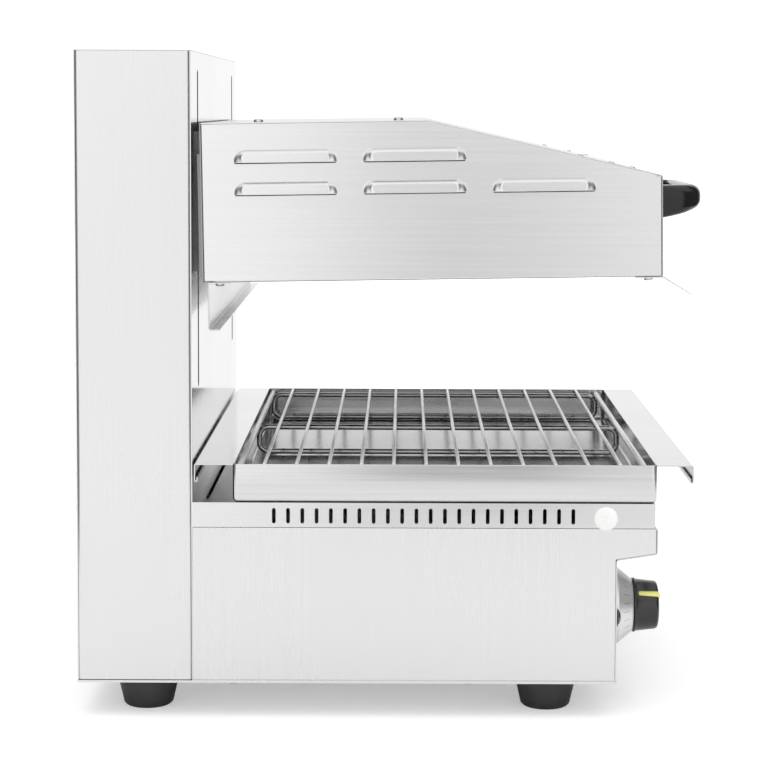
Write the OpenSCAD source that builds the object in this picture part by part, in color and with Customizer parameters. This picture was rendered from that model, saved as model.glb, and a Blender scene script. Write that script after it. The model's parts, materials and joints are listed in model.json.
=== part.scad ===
// Counter-top cheese melter (lift salamander): a heated hood on two arms that slides up and down a
// column, over a wire grid in a drip pan, on a base that holds the heat control.
// Depth (d) is counted forward from the column's back, height (z) up from the table.

/* [Body] */
// Width of the base and the column
body_w = 450; // [420:5:520]
// Thickness of the casing sheets
sheet = 1; // [0.8:0.1:1.5]
// Width of the folded edges inside the casings
flange = 12; // [10:1:14]
// Thickness of the folded bars and brackets inside
plate = 3; // [2:0.5:4]
// Thickness of the plate under the whole machine
floor_t = 2; // [1.5:0.5:3]
// Gap left between pieces that lie on or pass each other
clear = 0.3; // [0.2:0.05:0.4]
// Radial play of sliding and turning fits
fit = 0.05; // [0.03:0.01:0.08]

/* [Column] */
// Depth of the column
column_d = 92; // [88:1:110]
// Width of the two slots that the lift arms run in
slot_w = 9; // [8:0.5:12]
// Width of the folded edges that carry the rear cover
rear_flange = 26; // [25:1:32]
// Distance from the column's side to the middle of a slot
slot_inset = 56; // [50:1:60]
// Spare length of a slot past the lift arm at each end of the travel
slot_run = 8; // [5:0.5:10]
// Height of the column above the slots
slot_cap = 14.8; // [12:0.1:60]
// Number of vent slots in each row of the rear cover
rear_vents = 14; // [6:1:16]
// Distance between those vent slots
rear_vent_pitch = 22; // [18:1:24]
// Length of those vent slots
rear_vent_len = 28; // [15:1:35]
// Width of those vent slots
rear_vent_w = 5; // [3:0.5:8]
// Height of the lower row over the bottom plate
rear_vent_low = 85; // [80:1:100]
// Distance of the upper row's foot from the column's top
rear_vent_high = 75; // [50:1:90]

/* [Base] */
// Depth of the base from the column's face to the control panel's face
base_d = 337.5; // [320:0.5:380]
// Height of the base sides
base_h = 125.5; // [115:0.5:130]
// How far the nose over the control panel stands out
nose_reach = 32; // [20:1:40]
// Height of the nose at its front
nose_h = 21; // [15:1:30]
// Rise of the nose's underside from the panel to its front
nose_rise = 5; // [2:1:10]
// Height of the vented band of the deck
deck_h = 19.8; // [19.5:0.1:24]
// How far the deck's front stops short of the nose's
deck_back = 2.5; // [1:0.5:5]
// Width of the drain slot along the back of the deck
deck_slot_w = 3; // [2:0.5:4]
// Distance of that slot from the column's face
deck_slot_at = 10.5; // [8:0.5:14]
// Distance of the slot's ends from the sides
deck_slot_inset = 17; // [15:1:30]

/* [Side vents] */
// Number of vent slots in each side of the deck
vent_count = 22; // [10:1:22]
// Distance between the vent slots
vent_pitch = 11.3; // [8:0.1:11.5]
// Distance of the last one from the middle of the blind plug
vent_to_plug = 25.9; // [18:0.1:28]
// Width of a vent slot
vent_w = 3; // [2:0.1:4]
// Length of a vent slot
vent_len = 12.3; // [8:0.1:13]
// Diameter of the blind plug at the front end of the vents
plug_dia = 19; // [15:0.5:20]
// Distance of the plug's middle from the deck's front
plug_inset = 39.2; // [20:0.1:42]

/* [Feet] */
// Height of the rubber feet
foot_h = 27.5; // [22:0.5:40]
// Diameter of a foot on the table
foot_dia = 40; // [34:1:44]
// Diameter of a foot at the plate
foot_top_dia = 51; // [46:1:56]
// Distance of the feet from the sides
foot_inset = 41; // [30:1:60]
// Distance of the rear feet from the column's back
foot_rear = 52; // [40:1:80]
// Distance of the front feet from the control panel's face
foot_front = 54; // [40:1:80]

/* [Drip pan] */
// Height of the pan
pan_h = 30.5; // [25:0.5:40]
// Distance of the tub from the column's face
pan_back = 31.9; // [20:0.1:40]
// How far the tub's front stops short of the nose's
pan_front = 1.2; // [0:0.1:10]
// Gap between the rear lip and the column's face
pan_gap = 1.4; // [0.5:0.1:4]
// Reach of the front wing, which is the pull
pan_wing = 28.7; // [20:0.1:50]
// Height of the down-turned lips
lip_h = 14.5; // [8:0.5:20]
// Thickness of the closed hem at the foot of a lip
hem_t = 3; // [2.5:0.5:4]
// Height of that hem
hem_h = 4; // [3:0.5:6]
// How far the pan pulls forward
pan_travel = 250; // [50:10:300]

/* [Grid] */
// Gap between the wires' ends and the pan's side walls
grid_side_gap = 4; // [2:0.5:12]
// Gap between the side rods and the pan's front and back walls
grid_end_gap = 3.2; // [2.2:0.1:8]
// How far the grid stands back from the middle of the pan
grid_shift = 2; // [0:0.1:2.5]
// Diameter of the side rods and the loops
rod_dia = 5; // [4:0.5:6]
// Diameter of the thin wires
wire_dia = 3; // [2:0.5:4]
// Number of thin wires
wire_count = 12; // [6:1:16]
// Distance of the first and last wire from the side rods
wire_end = 20.15; // [12:0.05:30]
// Height of a loop between its rods' middles
loop_h = 21.9; // [20:0.1:26]
// Distance of the outer loops from the wires' ends
loop_side = 8; // [4:0.5:40]
// How far the loops' ends stand in from the side rods
loop_inset = 1.5; // [0:0.1:3]
// Bend radius of a loop's corners, to the rod's middle
loop_bend = 8; // [6:0.5:9]
// How deep the welded wires sink into the loops
weld = 0.3; // [0.1:0.1:0.5]
// How far the grid lifts straight up
grid_travel = 45; // [20:1:50]

/* [Hood] */
// How far the hood's sides stand in from the base's
hood_inset = 3; // [2:0.5:6]
// Depth of the hood
hood_d = 363; // [345:1:380]
// Height of the hood at its back
hood_h = 125.5; // [120:0.5:130]
// Height of the hood's front
hood_front_h = 80; // [76:0.5:100]
// Length of the flat part of the hood's top
hood_flat = 180; // [170:1:240]
// Gap between the hood and the column's face, at the hood's bottom
hood_gap = 8.4; // [7.5:0.1:16]
// Height of the hood's lower rear edge over the pan's rim
hood_raise = 143.3; // [135:0.1:146]
// Angle by which the hood's front rides high
hood_rake = 1; // [0:0.1:1.2]
// Width of the folded edge round the hood's open bottom
hood_lip = 22; // [18:1:26]

/* [Louvres] */
// Length of a louvre
louvre_len = 80.6; // [60:0.1:84]
// Height of a louvre
louvre_h = 10; // [8:0.5:14]
// How far a louvre bulges out
louvre_out = 3; // [2:0.5:4]
// Radius of a louvre's upper corners
louvre_r = 8; // [5:0.5:8]
// Distance between louvres in a row
louvre_pitch = 101.4; // [95:0.1:110]
// Distance of the first louvre from the hood's back
louvre_start = 26.6; // [15:0.1:30]
// Height of the lower row
louvre_low = 68.6; // [60:0.1:75]
// Distance between the two rows
louvre_row = 25.2; // [20:0.1:28]

/* [Lift] */
// How far the hood goes down from where it stands
lift_down = 86; // [40:1:90]
// How far the hood goes up from where it stands
lift_up = 42; // [10:1:42]
// Thickness of a lift arm
arm_t = 6; // [4:0.5:7]
// Height of a lift arm
arm_h = 113; // [100:1:113]
// Height of a lift arm's foot over the hood's bottom
arm_low = 5; // [2:0.5:6]
// Diameter of the guide rods
guide_dia = 12; // [10:0.5:14]
// Distance of the guide rods from the column's back
guide_d = 46; // [42:1:50]
// Width of a slider block
block_w = 32; // [28:1:36]
// Depth of a slider block
block_d = 30; // [26:1:34]
// Height of a slider block
block_h = 84; // [70:1:84]
// Wall of the bronze bushes
bush_wall = 2; // [1.5:0.5:3]
// Length of a bush
bush_len = 25; // [15:1:30]
// Height of a collar on a guide rod
collar_h = 6; // [4:0.5:8]
// Wall of a collar
collar_wall = 4; // [3:0.5:6]
// Height of a rubber stop
buffer_h = 8; // [5:0.5:8]

/* [Gas springs] */
// Diameter of a gas spring's cylinder
spring_dia = 18; // [15:0.5:22]
// Diameter of its piston rod
piston_rod_dia = 8; // [6:0.5:10]
// Distance of each gas spring from the middle
spring_x = 90; // [60:1:120]
// Thickness of the cylinder's ends
spring_end = 8; // [5:0.5:12]
// Wall of the cylinder
spring_wall = 1.5; // [1:0.1:2]
// Height of the piston
piston_h = 12; // [8:0.5:16]

/* [Handle] */
// Length of the handle
handle_w = 150; // [120:1:200]
// Reach of the handle from the hood's front
handle_reach = 53; // [44:1:60]
// Height of the handle at its root
handle_root = 28.5; // [24:0.5:32]
// Height of the handle's grip at its tip
handle_tip = 19; // [14:0.5:20]
// Height of the handle's foot over the hood's bottom
handle_low = 37.5; // [20:0.5:45]
// Width of the handle's two legs
handle_leg = 20; // [16:0.5:26]
// Thickness of the grip, front to back
handle_grip = 17; // [14:0.5:20]

/* [Shields] */
// Length of the sloping front deflector
deflector_len = 26.7; // [15:0.1:35]
// Angle of the front deflector below the hood's bottom
deflector_angle = 32; // [15:1:45]
// Height of the rear heat shield below the hood
shield_h = 38; // [20:1:45]
// Distance of the rear heat shield from the hood's back
shield_at = 4; // [3:0.5:8]
// Width of its forward lip
shield_lip = 9; // [5:0.5:12]

/* [Heating] */
// Diameter of the tubular heating elements
element_dia = 8; // [6:0.5:9]
// Number of heating elements
element_count = 3; // [1:1:3]
// Distance between the two legs of an element
element_gap = 50; // [40:1:50]
// Height of the elements over the hood's bottom
element_v = 30; // [26:1:36]
// Height of the reflector over the hood's bottom
reflector_h = 62; // [55:1:66]
// Distance of the reflector's walls from the hood's walls
reflector_inset = 34; // [30:1:38]
// Distance of each element bracket from the middle
bracket_x = 100; // [60:1:130]

/* [Control] */
// Distance of the knob from the machine's left side
knob_inset = 62; // [60:1:150]
// Height of the knob and the lamp over the base's bottom plate
knob_v = 50; // [45:1:60]
// Diameter of the knob's grip
knob_dia = 42.6; // [38:0.1:44]
// Diameter of the grip at the knob's front
knob_tip_dia = 39.4; // [34:0.1:42]
// Distance from the panel to the knob's front
knob_reach = 39; // [36:1:45]
// Diameter of the knob's skirt
skirt_dia = 44.5; // [44.5:0.5:48]
// Angle of the pointer from straight up, towards the machine's left
pointer_angle = 53; // [0:1:72]
// Width of the pointer
pointer_w = 3.6; // [2:0.1:5]
// Diameter of the scale bezel at the panel
bezel_dia = 64; // [56:1:66]
// Diameter of the bezel at the knob
bezel_tip_dia = 43; // [38:1:44]
// Height of the bezel
bezel_h = 18; // [14:0.5:20]
// Height of the bezel's straight rim
bezel_rim = 5; // [3:0.5:6]
// Diameter of the control shaft
shaft_dia = 6; // [5:0.5:7]
// Gap between the pilot lamp and the bezel
lamp_gap = 3.5; // [2:0.5:6]
// Diameter of the pilot lamp's rim
lamp_dia = 16; // [12:0.5:17]
// How far the lamp's dome stands out
lamp_reach = 5; // [3:0.5:6]

/* [Mains inlet] */
// Diameter of the bore for the cord
cord_dia = 10.4; // [8:0.1:12]
// Distance of the gland from the middle, towards the machine's right
gland_x = 120; // [0:5:150]
// Height of the gland over the bottom plate
gland_v = 48; // [40:1:60]
// How far the gland stands out of the rear cover
gland_reach = 9; // [7:0.5:9]

/* [Hidden] */
$fn = 48;

// Overlap that lets a cut run clean through a face
eps = 0.5;

// Heights
floor_z = foot_h;
floor_top = foot_h + floor_t;
base_top = foot_h + base_h;
deck_z = base_top + clear;
deck_top = deck_z + deck_h;
pan_z = deck_top + clear;
rim_z = pan_z + pan_h;
hood_z = rim_z + hood_raise;

// Widths
half_w = body_w / 2;
inner_w = half_w - sheet;
hood_half = half_w - hood_inset;
hood_inner = hood_half - sheet;
slot_x = half_w - slot_inset;

// Depths
panel_d = column_d + base_d;
nose_d = panel_d + nose_reach;
deck_d = nose_d - deck_back;
tub_d = column_d + pan_back;
tub_front_d = nose_d - pan_front;
hood_back_d = column_d + hood_gap;

// The model stands centred over the middle of its depth, from the gland to the handle's tip
tip_d = hood_back_d + (hood_d + handle_reach - handle_tip / 2) * cos(hood_rake)
      - (handle_low + handle_root - handle_tip / 2) * sin(hood_rake) + handle_tip / 2;
rear_y = (max(tip_d, tub_front_d + pan_wing) - gland_reach) / 2;

// Lift mechanism
arm_z = hood_z + arm_low;
slot_z = arm_z - lift_down - slot_run;
slot_len = lift_down + arm_h + lift_up + 2 * slot_run;
column_top_z = slot_z + slot_len + slot_cap;
block_mid = arm_z + arm_h / 2;
block_z = block_mid - block_h / 2;
block_top = block_mid + block_h / 2;
bush_r = guide_dia / 2 + bush_wall;
upper_bar_z = block_top + lift_up + clear + buffer_h + collar_h;
low_stop_z = block_z - lift_down - clear;
beam_h = 50;
beam_z = block_mid - beam_h / 2;
beam_d = 24;
spring_spare = 3;
spring_gap = 8;
spring_len = lift_down + lift_up + piston_h + 2 * spring_end + 2 * spring_spare;
spring_top = beam_z - lift_down - spring_gap;
spring_z = spring_top - spring_len;
piston_z = spring_z + spring_end + spring_spare + lift_down;
bar_back = 32;
bar_front = 14;
bar_d = [guide_d - bar_back, guide_d + bar_front];
bar_tab = 25;
rod_over = 2;
stud_r = 3;
stud_len = 9;
nut_r = 6;
nut_h = 5;

// Screws: pan heads of two sizes
screw_r = 2;
screw_head_r = 3.8;
screw_head_h = 2.6;
screw_len = 8;
hole_play = 0.15;
bolt_r = 3;
bolt_head_r = 5;
bolt_head_h = 4;
bolt_spare = 2;

// Pad of a lift arm on the hood, from the slot's middle and from the hood's bottom, with its bolts
arm_pad_out = 44;
arm_pad_in = 19;
arm_pad_foot = 3;
arm_pad_top = 101;
arm_bolt_edge = 8;
arm_pad_x = [-arm_pad_out, arm_pad_in];
arm_pad_v = [arm_pad_foot, arm_pad_top];
arm_bolt_x = [arm_bolt_edge - arm_pad_out, arm_pad_in - arm_bolt_edge];
arm_bolt_v = [arm_pad_foot + arm_bolt_edge, arm_pad_top - arm_bolt_edge];
arm_screw_x = 9.5;
arm_screw_z = 30;
arm_foot_w = 28;
arm_foot_t = 4;

// Top and bottom screws of the hood, from its back
top_screw_rear = 46;
top_screw_front = 156;
top_screw_u = [top_screw_rear, top_screw_front];
top_screw_inset = 8;
shield_screw_u = (shield_at + hood_lip) / 2;
deflector_screw_u = hood_d - hood_lip / 2;
under_screw_inset = 10;
slope_angle = atan((hood_h - hood_front_h) / (hood_d - hood_flat));
slope_len = (hood_d - hood_flat) / cos(slope_angle);
slope_t = sheet * cos(slope_angle);
slope_foot_v = hood_front_h - sheet + sheet * tan(slope_angle);
rivet_low = 24;
rivet_mid = 41;
rivet_high = 66;
rivet_at = [rivet_low, rivet_mid, rivet_high];
rivet_r = 2.4;
rivet_h = 1.2;
rivet_shank_r = 1.4;

// Elements
element_r = element_dia / 2;
element_bend = element_gap / 2;
element_first_u = hood_d / 2 - (element_count - 1) * element_gap;
reflector_half = hood_half - reflector_inset;
element_clear = 12;
element_end_x = reflector_half - element_clear;
element_tail = 14;
terminal_r = 5.5;
terminal_len = 8;

// Control
knob_x = -(half_w - knob_inset);
control_z = foot_h + knob_v;
lamp_x = knob_x - bezel_dia / 2 - lamp_gap - lamp_dia / 2;
bushing_r = 5;
regulator_w = 48;
regulator_h = 44;
regulator_d = 38;
regulator_nut_r = 8;
regulator_nut_h = 2.6;
lamp_body_r = 5;
lamp_body_len = 25;
lamp_rim_t = 2;
lens_r = lamp_dia / 2 - 1.5;
gland_z = foot_h + gland_v;
gland_r = 12;
gland_thread_r = 9;
gland_thread_len = 11;
locknut_t = 4;

// Vent band
vent_drop = 0.6;
vent_z = deck_z + deck_h / 2 - vent_drop;
plug_t = 1.6;
plug_stem_r = 6.5;
plug_z = deck_z + sheet + plug_stem_r + clear;
plug_d = deck_d - plug_inset;
vent_first_d = plug_d - vent_to_plug - (vent_count - 1) * vent_pitch;
plug_stem_len = 6;

// Grid
grid_half = inner_w - grid_side_gap;
grid_mid_d = (tub_d + tub_front_d) / 2 - grid_shift;
grid_half_d = (tub_front_d - tub_d) / 2 - sheet - grid_end_gap - rod_dia / 2;
loop_half_d = grid_half_d - loop_inset;
loop_z = pan_z + sheet + clear + rod_dia / 2;
loop_top_z = loop_z + loop_h;
wire_z = loop_top_z + rod_dia / 2 + wire_dia / 2 - weld;
wire_step = 2 * (grid_half_d - wire_end) / (wire_count - 1);
side_rod_z = loop_top_z - loop_bend
           + sqrt(pow(loop_bend + rod_dia - weld, 2) - pow(loop_bend + loop_inset, 2));

// Colours of the finishes
STEEL = [0.82, 0.82, 0.81];
BRIGHT = [0.9, 0.9, 0.9];
ZINC = [0.72, 0.73, 0.74];
BLACK = [0.07, 0.07, 0.07];
BRONZE = [0.72, 0.53, 0.3];
GREY = [0.45, 0.45, 0.46];
WHITE = [0.95, 0.95, 0.93];
YELLOW = [0.9, 0.88, 0.45];

// ---------- Frames and simple bodies ----------

// The machine's frame: x to the right, y = -d
module in_body() {
    translate([0, rear_y, 0]) children();
}

// The hood's own frame, at the middle of its lower rear edge, tipped by its rake
module in_hood() {
    translate([0, rear_y - hood_back_d, hood_z])
        rotate([-hood_rake, 0, 0])
            children();
}

// The children and their mirror image on the other side
module both_sides() {
    children();
    mirror([1, 0, 0]) children();
}

// Block between two widths, two depths and two heights
module block(x, d, z) {
    translate([x[0], -d[1], z[0]])
        cube([x[1] - x[0], d[1] - d[0], z[1] - z[0]]);
}

// Outline in depth and height, stretched between two widths
module across(x) {
    translate([x[1], 0, 0])
        rotate([90, 0, -90])
            linear_extrude(x[1] - x[0]) children();
}

// Outline in width and depth, stretched between two heights
module upright(z) {
    translate([0, 0, z[0]])
        linear_extrude(z[1] - z[0])
            mirror([0, 1, 0]) children();
}

// Round bar from side to side
module bar_x(x, d, z, r) {
    translate([x[0], -d, z]) rotate([0, 90, 0]) cylinder(h = x[1] - x[0], r = r);
}

// Round bar from back to front
module bar_d(x, d, z, r) {
    translate([x, -d[1], z]) rotate([-90, 0, 0]) cylinder(h = d[1] - d[0], r = r);
}

// Round upright bar
module bar_z(x, d, z, r) {
    translate([x, -d, z[0]]) cylinder(h = z[1] - z[0], r = r);
}

// Upright slot with round ends through a front or rear sheet
module slot_d(x, d, z, w) {
    block([x - w / 2, x + w / 2], d, [z[0] + w / 2, z[1] - w / 2]);
    for (end = [z[0] + w / 2, z[1] - w / 2]) bar_d(x, d, end, w / 2);
}

// Upright slot with round ends through a side sheet
module slot_x_cut(x, d, z, w) {
    block(x, [d - w / 2, d + w / 2], [z[0] + w / 2, z[1] - w / 2]);
    for (end = [z[0] + w / 2, z[1] - w / 2]) bar_x(x, d, end, w / 2);
}

// Pan-head screw pointing up, its head's seat at z
module screw_up(x, d, z) {
    bar_z(x, d, [z - screw_head_h, z], screw_head_r);
    bar_z(x, d, [z, z + screw_len], screw_r);
}

// ---------- Base ----------

// Places of the four feet
foot_places = [for (x = [-1, 1], d = [foot_rear, panel_d - foot_front]) [x * (half_w - foot_inset), d]];
// Places of the screws that hold the base sides to the bottom plate
base_screw_back = 31;
base_screw_front = 117.5;
base_screw_inset = 9;
base_screw_d = [column_d + base_screw_back, panel_d - base_screw_front];
base_screw_x = half_w - base_screw_inset;
bottom_vent_rows = 4;
bottom_vent_x = 75;
bottom_vent_pitch = 16;
bottom_vent_len = 60;
bottom_vent_w = 4;

module bottom_plate() {
    color(STEEL) in_body() difference() {
        block([-half_w, half_w], [0, panel_d], [floor_z, floor_top]);
        for (p = foot_places)
            bar_z(p[0], p[1], [floor_z - eps, floor_top + eps], bolt_r + fit);
        for (x = [-1, 1], d = base_screw_d)
            bar_z(x * base_screw_x, d, [floor_z - eps, floor_top + eps], screw_r + hole_play);
        for (i = [-bottom_vent_rows:bottom_vent_rows]) for (side = [-1, 1])
            translate([side * bottom_vent_x, -panel_d / 2 - i * bottom_vent_pitch, 0])
                block([-bottom_vent_len / 2, bottom_vent_len / 2], [-bottom_vent_w / 2, bottom_vent_w / 2],
                      [floor_z - eps, floor_top + eps]);
    }
}

foot_chamfer = 2;
foot_recess_r = 9;
foot_recess = 14;

module rubber_feet() {
    color(BLACK) in_body() for (p = foot_places) translate([p[0], -p[1], 0])
        rotate_extrude() polygon([
            [foot_recess_r, 0],
            [foot_dia / 2 - foot_chamfer, 0],
            [foot_dia / 2, foot_chamfer],
            [foot_top_dia / 2, foot_h - foot_chamfer],
            [foot_top_dia / 2 - foot_chamfer / 2, foot_h],
            [bolt_r + hole_play, foot_h],
            [bolt_r + hole_play, foot_recess],
            [foot_recess_r, foot_recess]
        ]);
}

module foot_screws() {
    color(ZINC) in_body() for (p = foot_places) {
        bar_z(p[0], p[1], [foot_recess - bolt_head_h, foot_recess], bolt_head_r);
        bar_z(p[0], p[1], [foot_recess, floor_top + nut_h + bolt_spare], bolt_r);
    }
}

// Outline of a base side, from the column's face to the inside of the control panel
module base_side_outline() {
    polygon([
        [column_d, floor_top],
        [panel_d - sheet, floor_top],
        [panel_d - sheet, base_top - nose_h - nose_rise + sheet],
        [nose_d - sheet, base_top - nose_h + sheet],
        [nose_d - sheet, base_top],
        [column_d, base_top]
    ]);
}

// The left base side, with a folded edge along its top and its bottom
module base_side() {
    difference() {
        union() {
            across([-half_w, -inner_w]) base_side_outline();
            block([-inner_w, -half_w + flange], [column_d, panel_d - sheet], [floor_top, floor_top + sheet]);
            block([-inner_w, -half_w + flange], [column_d, nose_d - sheet], [base_top - sheet, base_top]);
        }
        for (d = base_screw_d)
            bar_z(-base_screw_x, d, [floor_z, floor_top + sheet + eps], screw_r + hole_play);
    }
}

module base_left_side() {
    color(STEEL) in_body() base_side();
}

module base_right_side() {
    color(STEEL) in_body() mirror([1, 0, 0]) base_side();
}

// Folded sheet: panel face, underside of the nose and the nose's front
module control_panel() {
    color(STEEL) in_body() difference() {
        union() {
            across([-half_w, half_w]) polygon([
                [panel_d - sheet, floor_top],
                [panel_d, floor_top],
                [panel_d, base_top - nose_h - nose_rise],
                [nose_d, base_top - nose_h],
                [nose_d, base_top],
                [nose_d - sheet, base_top],
                [nose_d - sheet, base_top - nose_h + sheet],
                [panel_d - sheet, base_top - nose_h - nose_rise + sheet]
            ]);
            block([-half_w + flange, half_w - flange], [nose_d - flange, nose_d - sheet],
                  [base_top - sheet, base_top]);
        }
        bar_d(knob_x, [panel_d - sheet - eps, panel_d + eps], control_z, bushing_r + hole_play);
        bar_d(lamp_x, [panel_d - sheet - eps, panel_d + eps], control_z, lamp_body_r + hole_play);
    }
}

// Folded tray that covers the base and carries the pan, with a vented band on each side
module deck() {
    color(STEEL) in_body() difference() {
        block([-half_w, half_w], [column_d, deck_d], [deck_z, deck_top]);
        block([-inner_w, inner_w], [column_d - eps, deck_d - sheet], [deck_z + sheet, deck_top - sheet]);
        block([-half_w + flange, half_w - flange], [column_d - eps, deck_d - flange],
              [deck_z - eps, deck_z + 2 * sheet]);
        block([-half_w + deck_slot_inset, half_w - deck_slot_inset],
              [column_d + deck_slot_at - deck_slot_w / 2, column_d + deck_slot_at + deck_slot_w / 2],
              [deck_top - 2 * sheet, deck_top + eps]);
        both_sides() {
            for (i = [0:vent_count - 1])
                slot_x_cut([-half_w - eps, -inner_w + eps], vent_first_d + i * vent_pitch,
                           [vent_z - vent_len / 2, vent_z + vent_len / 2], vent_w);
            bar_x([-half_w - eps, -inner_w + eps], plug_d, plug_z, plug_stem_r + hole_play);
        }
    }
}

module hole_plugs() {
    color(WHITE) in_body() both_sides() {
        bar_x([-half_w - plug_t, -half_w], plug_d, plug_z, plug_dia / 2);
        bar_x([-half_w, -half_w + plug_stem_len], plug_d, plug_z, plug_stem_r);
    }
}

// ---------- Column ----------

// The left column side, with a folded edge at its back and its front
module column_side() {
    side_z = [floor_top, column_top_z - sheet];
    difference() {
        union() {
            block([-half_w, -inner_w], [sheet, column_d - sheet], side_z);
            block([-inner_w, -half_w + rear_flange], [sheet, 2 * sheet], side_z);
            block([-inner_w, -half_w + flange], [column_d - 2 * sheet, column_d - sheet], side_z);
        }
        for (z = cover_screw_z)
            bar_d(-cover_screw_x, [0, 3 * sheet], z, screw_r + hole_play);
    }
}

module column_left_side() {
    color(STEEL) in_body() column_side();
}

module column_right_side() {
    color(STEEL) in_body() mirror([1, 0, 0]) column_side();
}

// Bright front face with the two slots for the lift arms
module column_front() {
    color(BRIGHT) in_body() difference() {
        block([-half_w, half_w], [column_d - sheet, column_d], [floor_top, column_top_z - sheet]);
        for (x = [-slot_x, slot_x])
            slot_d(x, [column_d - sheet - eps, column_d + eps], [slot_z, slot_z + slot_len], slot_w);
    }
}

// Places of the screws along the sides of the rear cover
cover_screw_inset = 19;
cover_screw_end = 22;
cover_screw_steps = 4;
cover_screw_x = half_w - cover_screw_inset;
cover_screw_span = column_top_z - floor_top - 2 * cover_screw_end;
cover_screw_z = [for (i = [0:cover_screw_steps])
    floor_top + cover_screw_end + i * cover_screw_span / cover_screw_steps];
rear_vent_z = [floor_top + rear_vent_low, column_top_z - rear_vent_high];

module column_rear_cover() {
    color(STEEL) in_body() difference() {
        block([-half_w, half_w], [0, sheet], [floor_top, column_top_z - sheet]);
        for (row = rear_vent_z) for (i = [0:rear_vents - 1])
            slot_d((i - (rear_vents - 1) / 2) * rear_vent_pitch, [-eps, sheet + eps],
                   [row, row + rear_vent_len], rear_vent_w);
        for (x = [-1, 1], z = cover_screw_z)
            bar_d(x * cover_screw_x, [-eps, sheet + eps], z, screw_r + hole_play);
        bar_d(gland_x, [-eps, sheet + eps], gland_z, gland_thread_r + hole_play);
    }
}

top_fold = 10;

module column_top() {
    color(STEEL) in_body() {
        block([-half_w, half_w], [0, column_d], [column_top_z - sheet, column_top_z]);
        both_sides()
            block([-inner_w, -inner_w + sheet], [flange, column_d - flange],
                  [column_top_z - sheet - top_fold, column_top_z - sheet]);
    }
}

// Screws of the base plate and of the rear cover
module casing_screws() {
    color(ZINC) in_body() for (x = [-1, 1]) {
        for (d = base_screw_d) screw_up(x * base_screw_x, d, floor_z);
        for (z = cover_screw_z) {
            bar_d(x * cover_screw_x, [-screw_head_h, 0], z, screw_head_r);
            bar_d(x * cover_screw_x, [0, screw_len], z, screw_r);
        }
    }
}

// ---------- Lift guide ----------

// Folded bar across the column, its upper face at z
module crossbar(z) {
    block([-inner_w, inner_w], bar_d, [z - plate, z]);
    both_sides() block([-inner_w, -inner_w + plate], bar_d, [z - bar_tab, z - plate]);
}

module upper_crossbar() {
    color(ZINC) in_body() difference() {
        crossbar(upper_bar_z + plate);
        for (x = [-slot_x, slot_x])
            bar_z(x, guide_d, [upper_bar_z - eps, upper_bar_z + plate + eps], guide_dia / 2 + fit);
    }
}

module lower_crossbar() {
    color(ZINC) in_body() difference() {
        crossbar(spring_z);
        for (x = [-slot_x, slot_x])
            bar_z(x, guide_d, [spring_z - plate - eps, spring_z + eps], guide_dia / 2 + fit);
        for (x = [-spring_x, spring_x])
            bar_z(x, guide_d, [spring_z - plate - eps, spring_z + eps], stud_r + hole_play);
    }
}

module guide_rods() {
    color(BRIGHT) in_body() for (x = [-slot_x, slot_x])
        bar_z(x, guide_d, [spring_z - plate - rod_over, upper_bar_z + plate + rod_over], guide_dia / 2);
}

// Upright ring round a guide rod
module rod_ring(x, z, h, wall) {
    difference() {
        bar_z(x, guide_d, [z, z + h], guide_dia / 2 + wall);
        bar_z(x, guide_d, [z - eps, z + h + eps], guide_dia / 2 + fit);
    }
}

module rod_collars() {
    color(ZINC) in_body() for (x = [-slot_x, slot_x]) {
        rod_ring(x, upper_bar_z - collar_h, collar_h, collar_wall);
        rod_ring(x, spring_z, collar_h, collar_wall);
        rod_ring(x, low_stop_z - buffer_h - collar_h, collar_h, collar_wall);
    }
}

module stop_buffers() {
    color(BLACK) in_body() for (x = [-slot_x, slot_x]) {
        rod_ring(x, upper_bar_z - collar_h - buffer_h, buffer_h, collar_wall - 1);
        rod_ring(x, low_stop_z - buffer_h, buffer_h, collar_wall - 1);
    }
}

module gas_spring_cylinders() {
    inner_r = spring_dia / 2 - spring_wall;
    color(BLACK) in_body() for (x = [-spring_x, spring_x]) {
        difference() {
            bar_z(x, guide_d, [spring_z, spring_top], spring_dia / 2);
            bar_z(x, guide_d, [spring_z + spring_end, spring_top - spring_end], inner_r);
            bar_z(x, guide_d, [spring_top - spring_end - eps, spring_top + eps], piston_rod_dia / 2 + fit);
        }
        bar_z(x, guide_d, [spring_z - plate - stud_len, spring_z], stud_r);
    }
}

// Hexagon nut on an upright screw or stud
module nut_z(x, d, z) {
    difference() {
        translate([x, -d, z]) cylinder(h = nut_h, r = nut_r, $fn = 6);
        bar_z(x, d, [z - eps, z + nut_h + eps], stud_r + fit);
    }
}

module fixing_nuts() {
    color(ZINC) in_body() {
        for (x = [-spring_x, spring_x]) nut_z(x, guide_d, spring_z - plate - nut_h);
        for (p = foot_places) nut_z(p[0], p[1], floor_top);
    }
}

// ---------- Control and mains ----------

module energy_regulator() {
    color(GREY) in_body() difference() {
        union() {
            block([knob_x - regulator_w / 2, knob_x + regulator_w / 2],
                  [panel_d - sheet - regulator_d, panel_d - sheet],
                  [control_z - regulator_h / 2, control_z + regulator_h / 2]);
            bar_d(knob_x, [panel_d - sheet, panel_d + bushing_r], control_z, bushing_r);
        }
        bar_d(knob_x, [panel_d - regulator_d / 2, panel_d + 2 * bushing_r], control_z, shaft_dia / 2 + fit);
    }
}

bezel_wall = 1.4;

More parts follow.
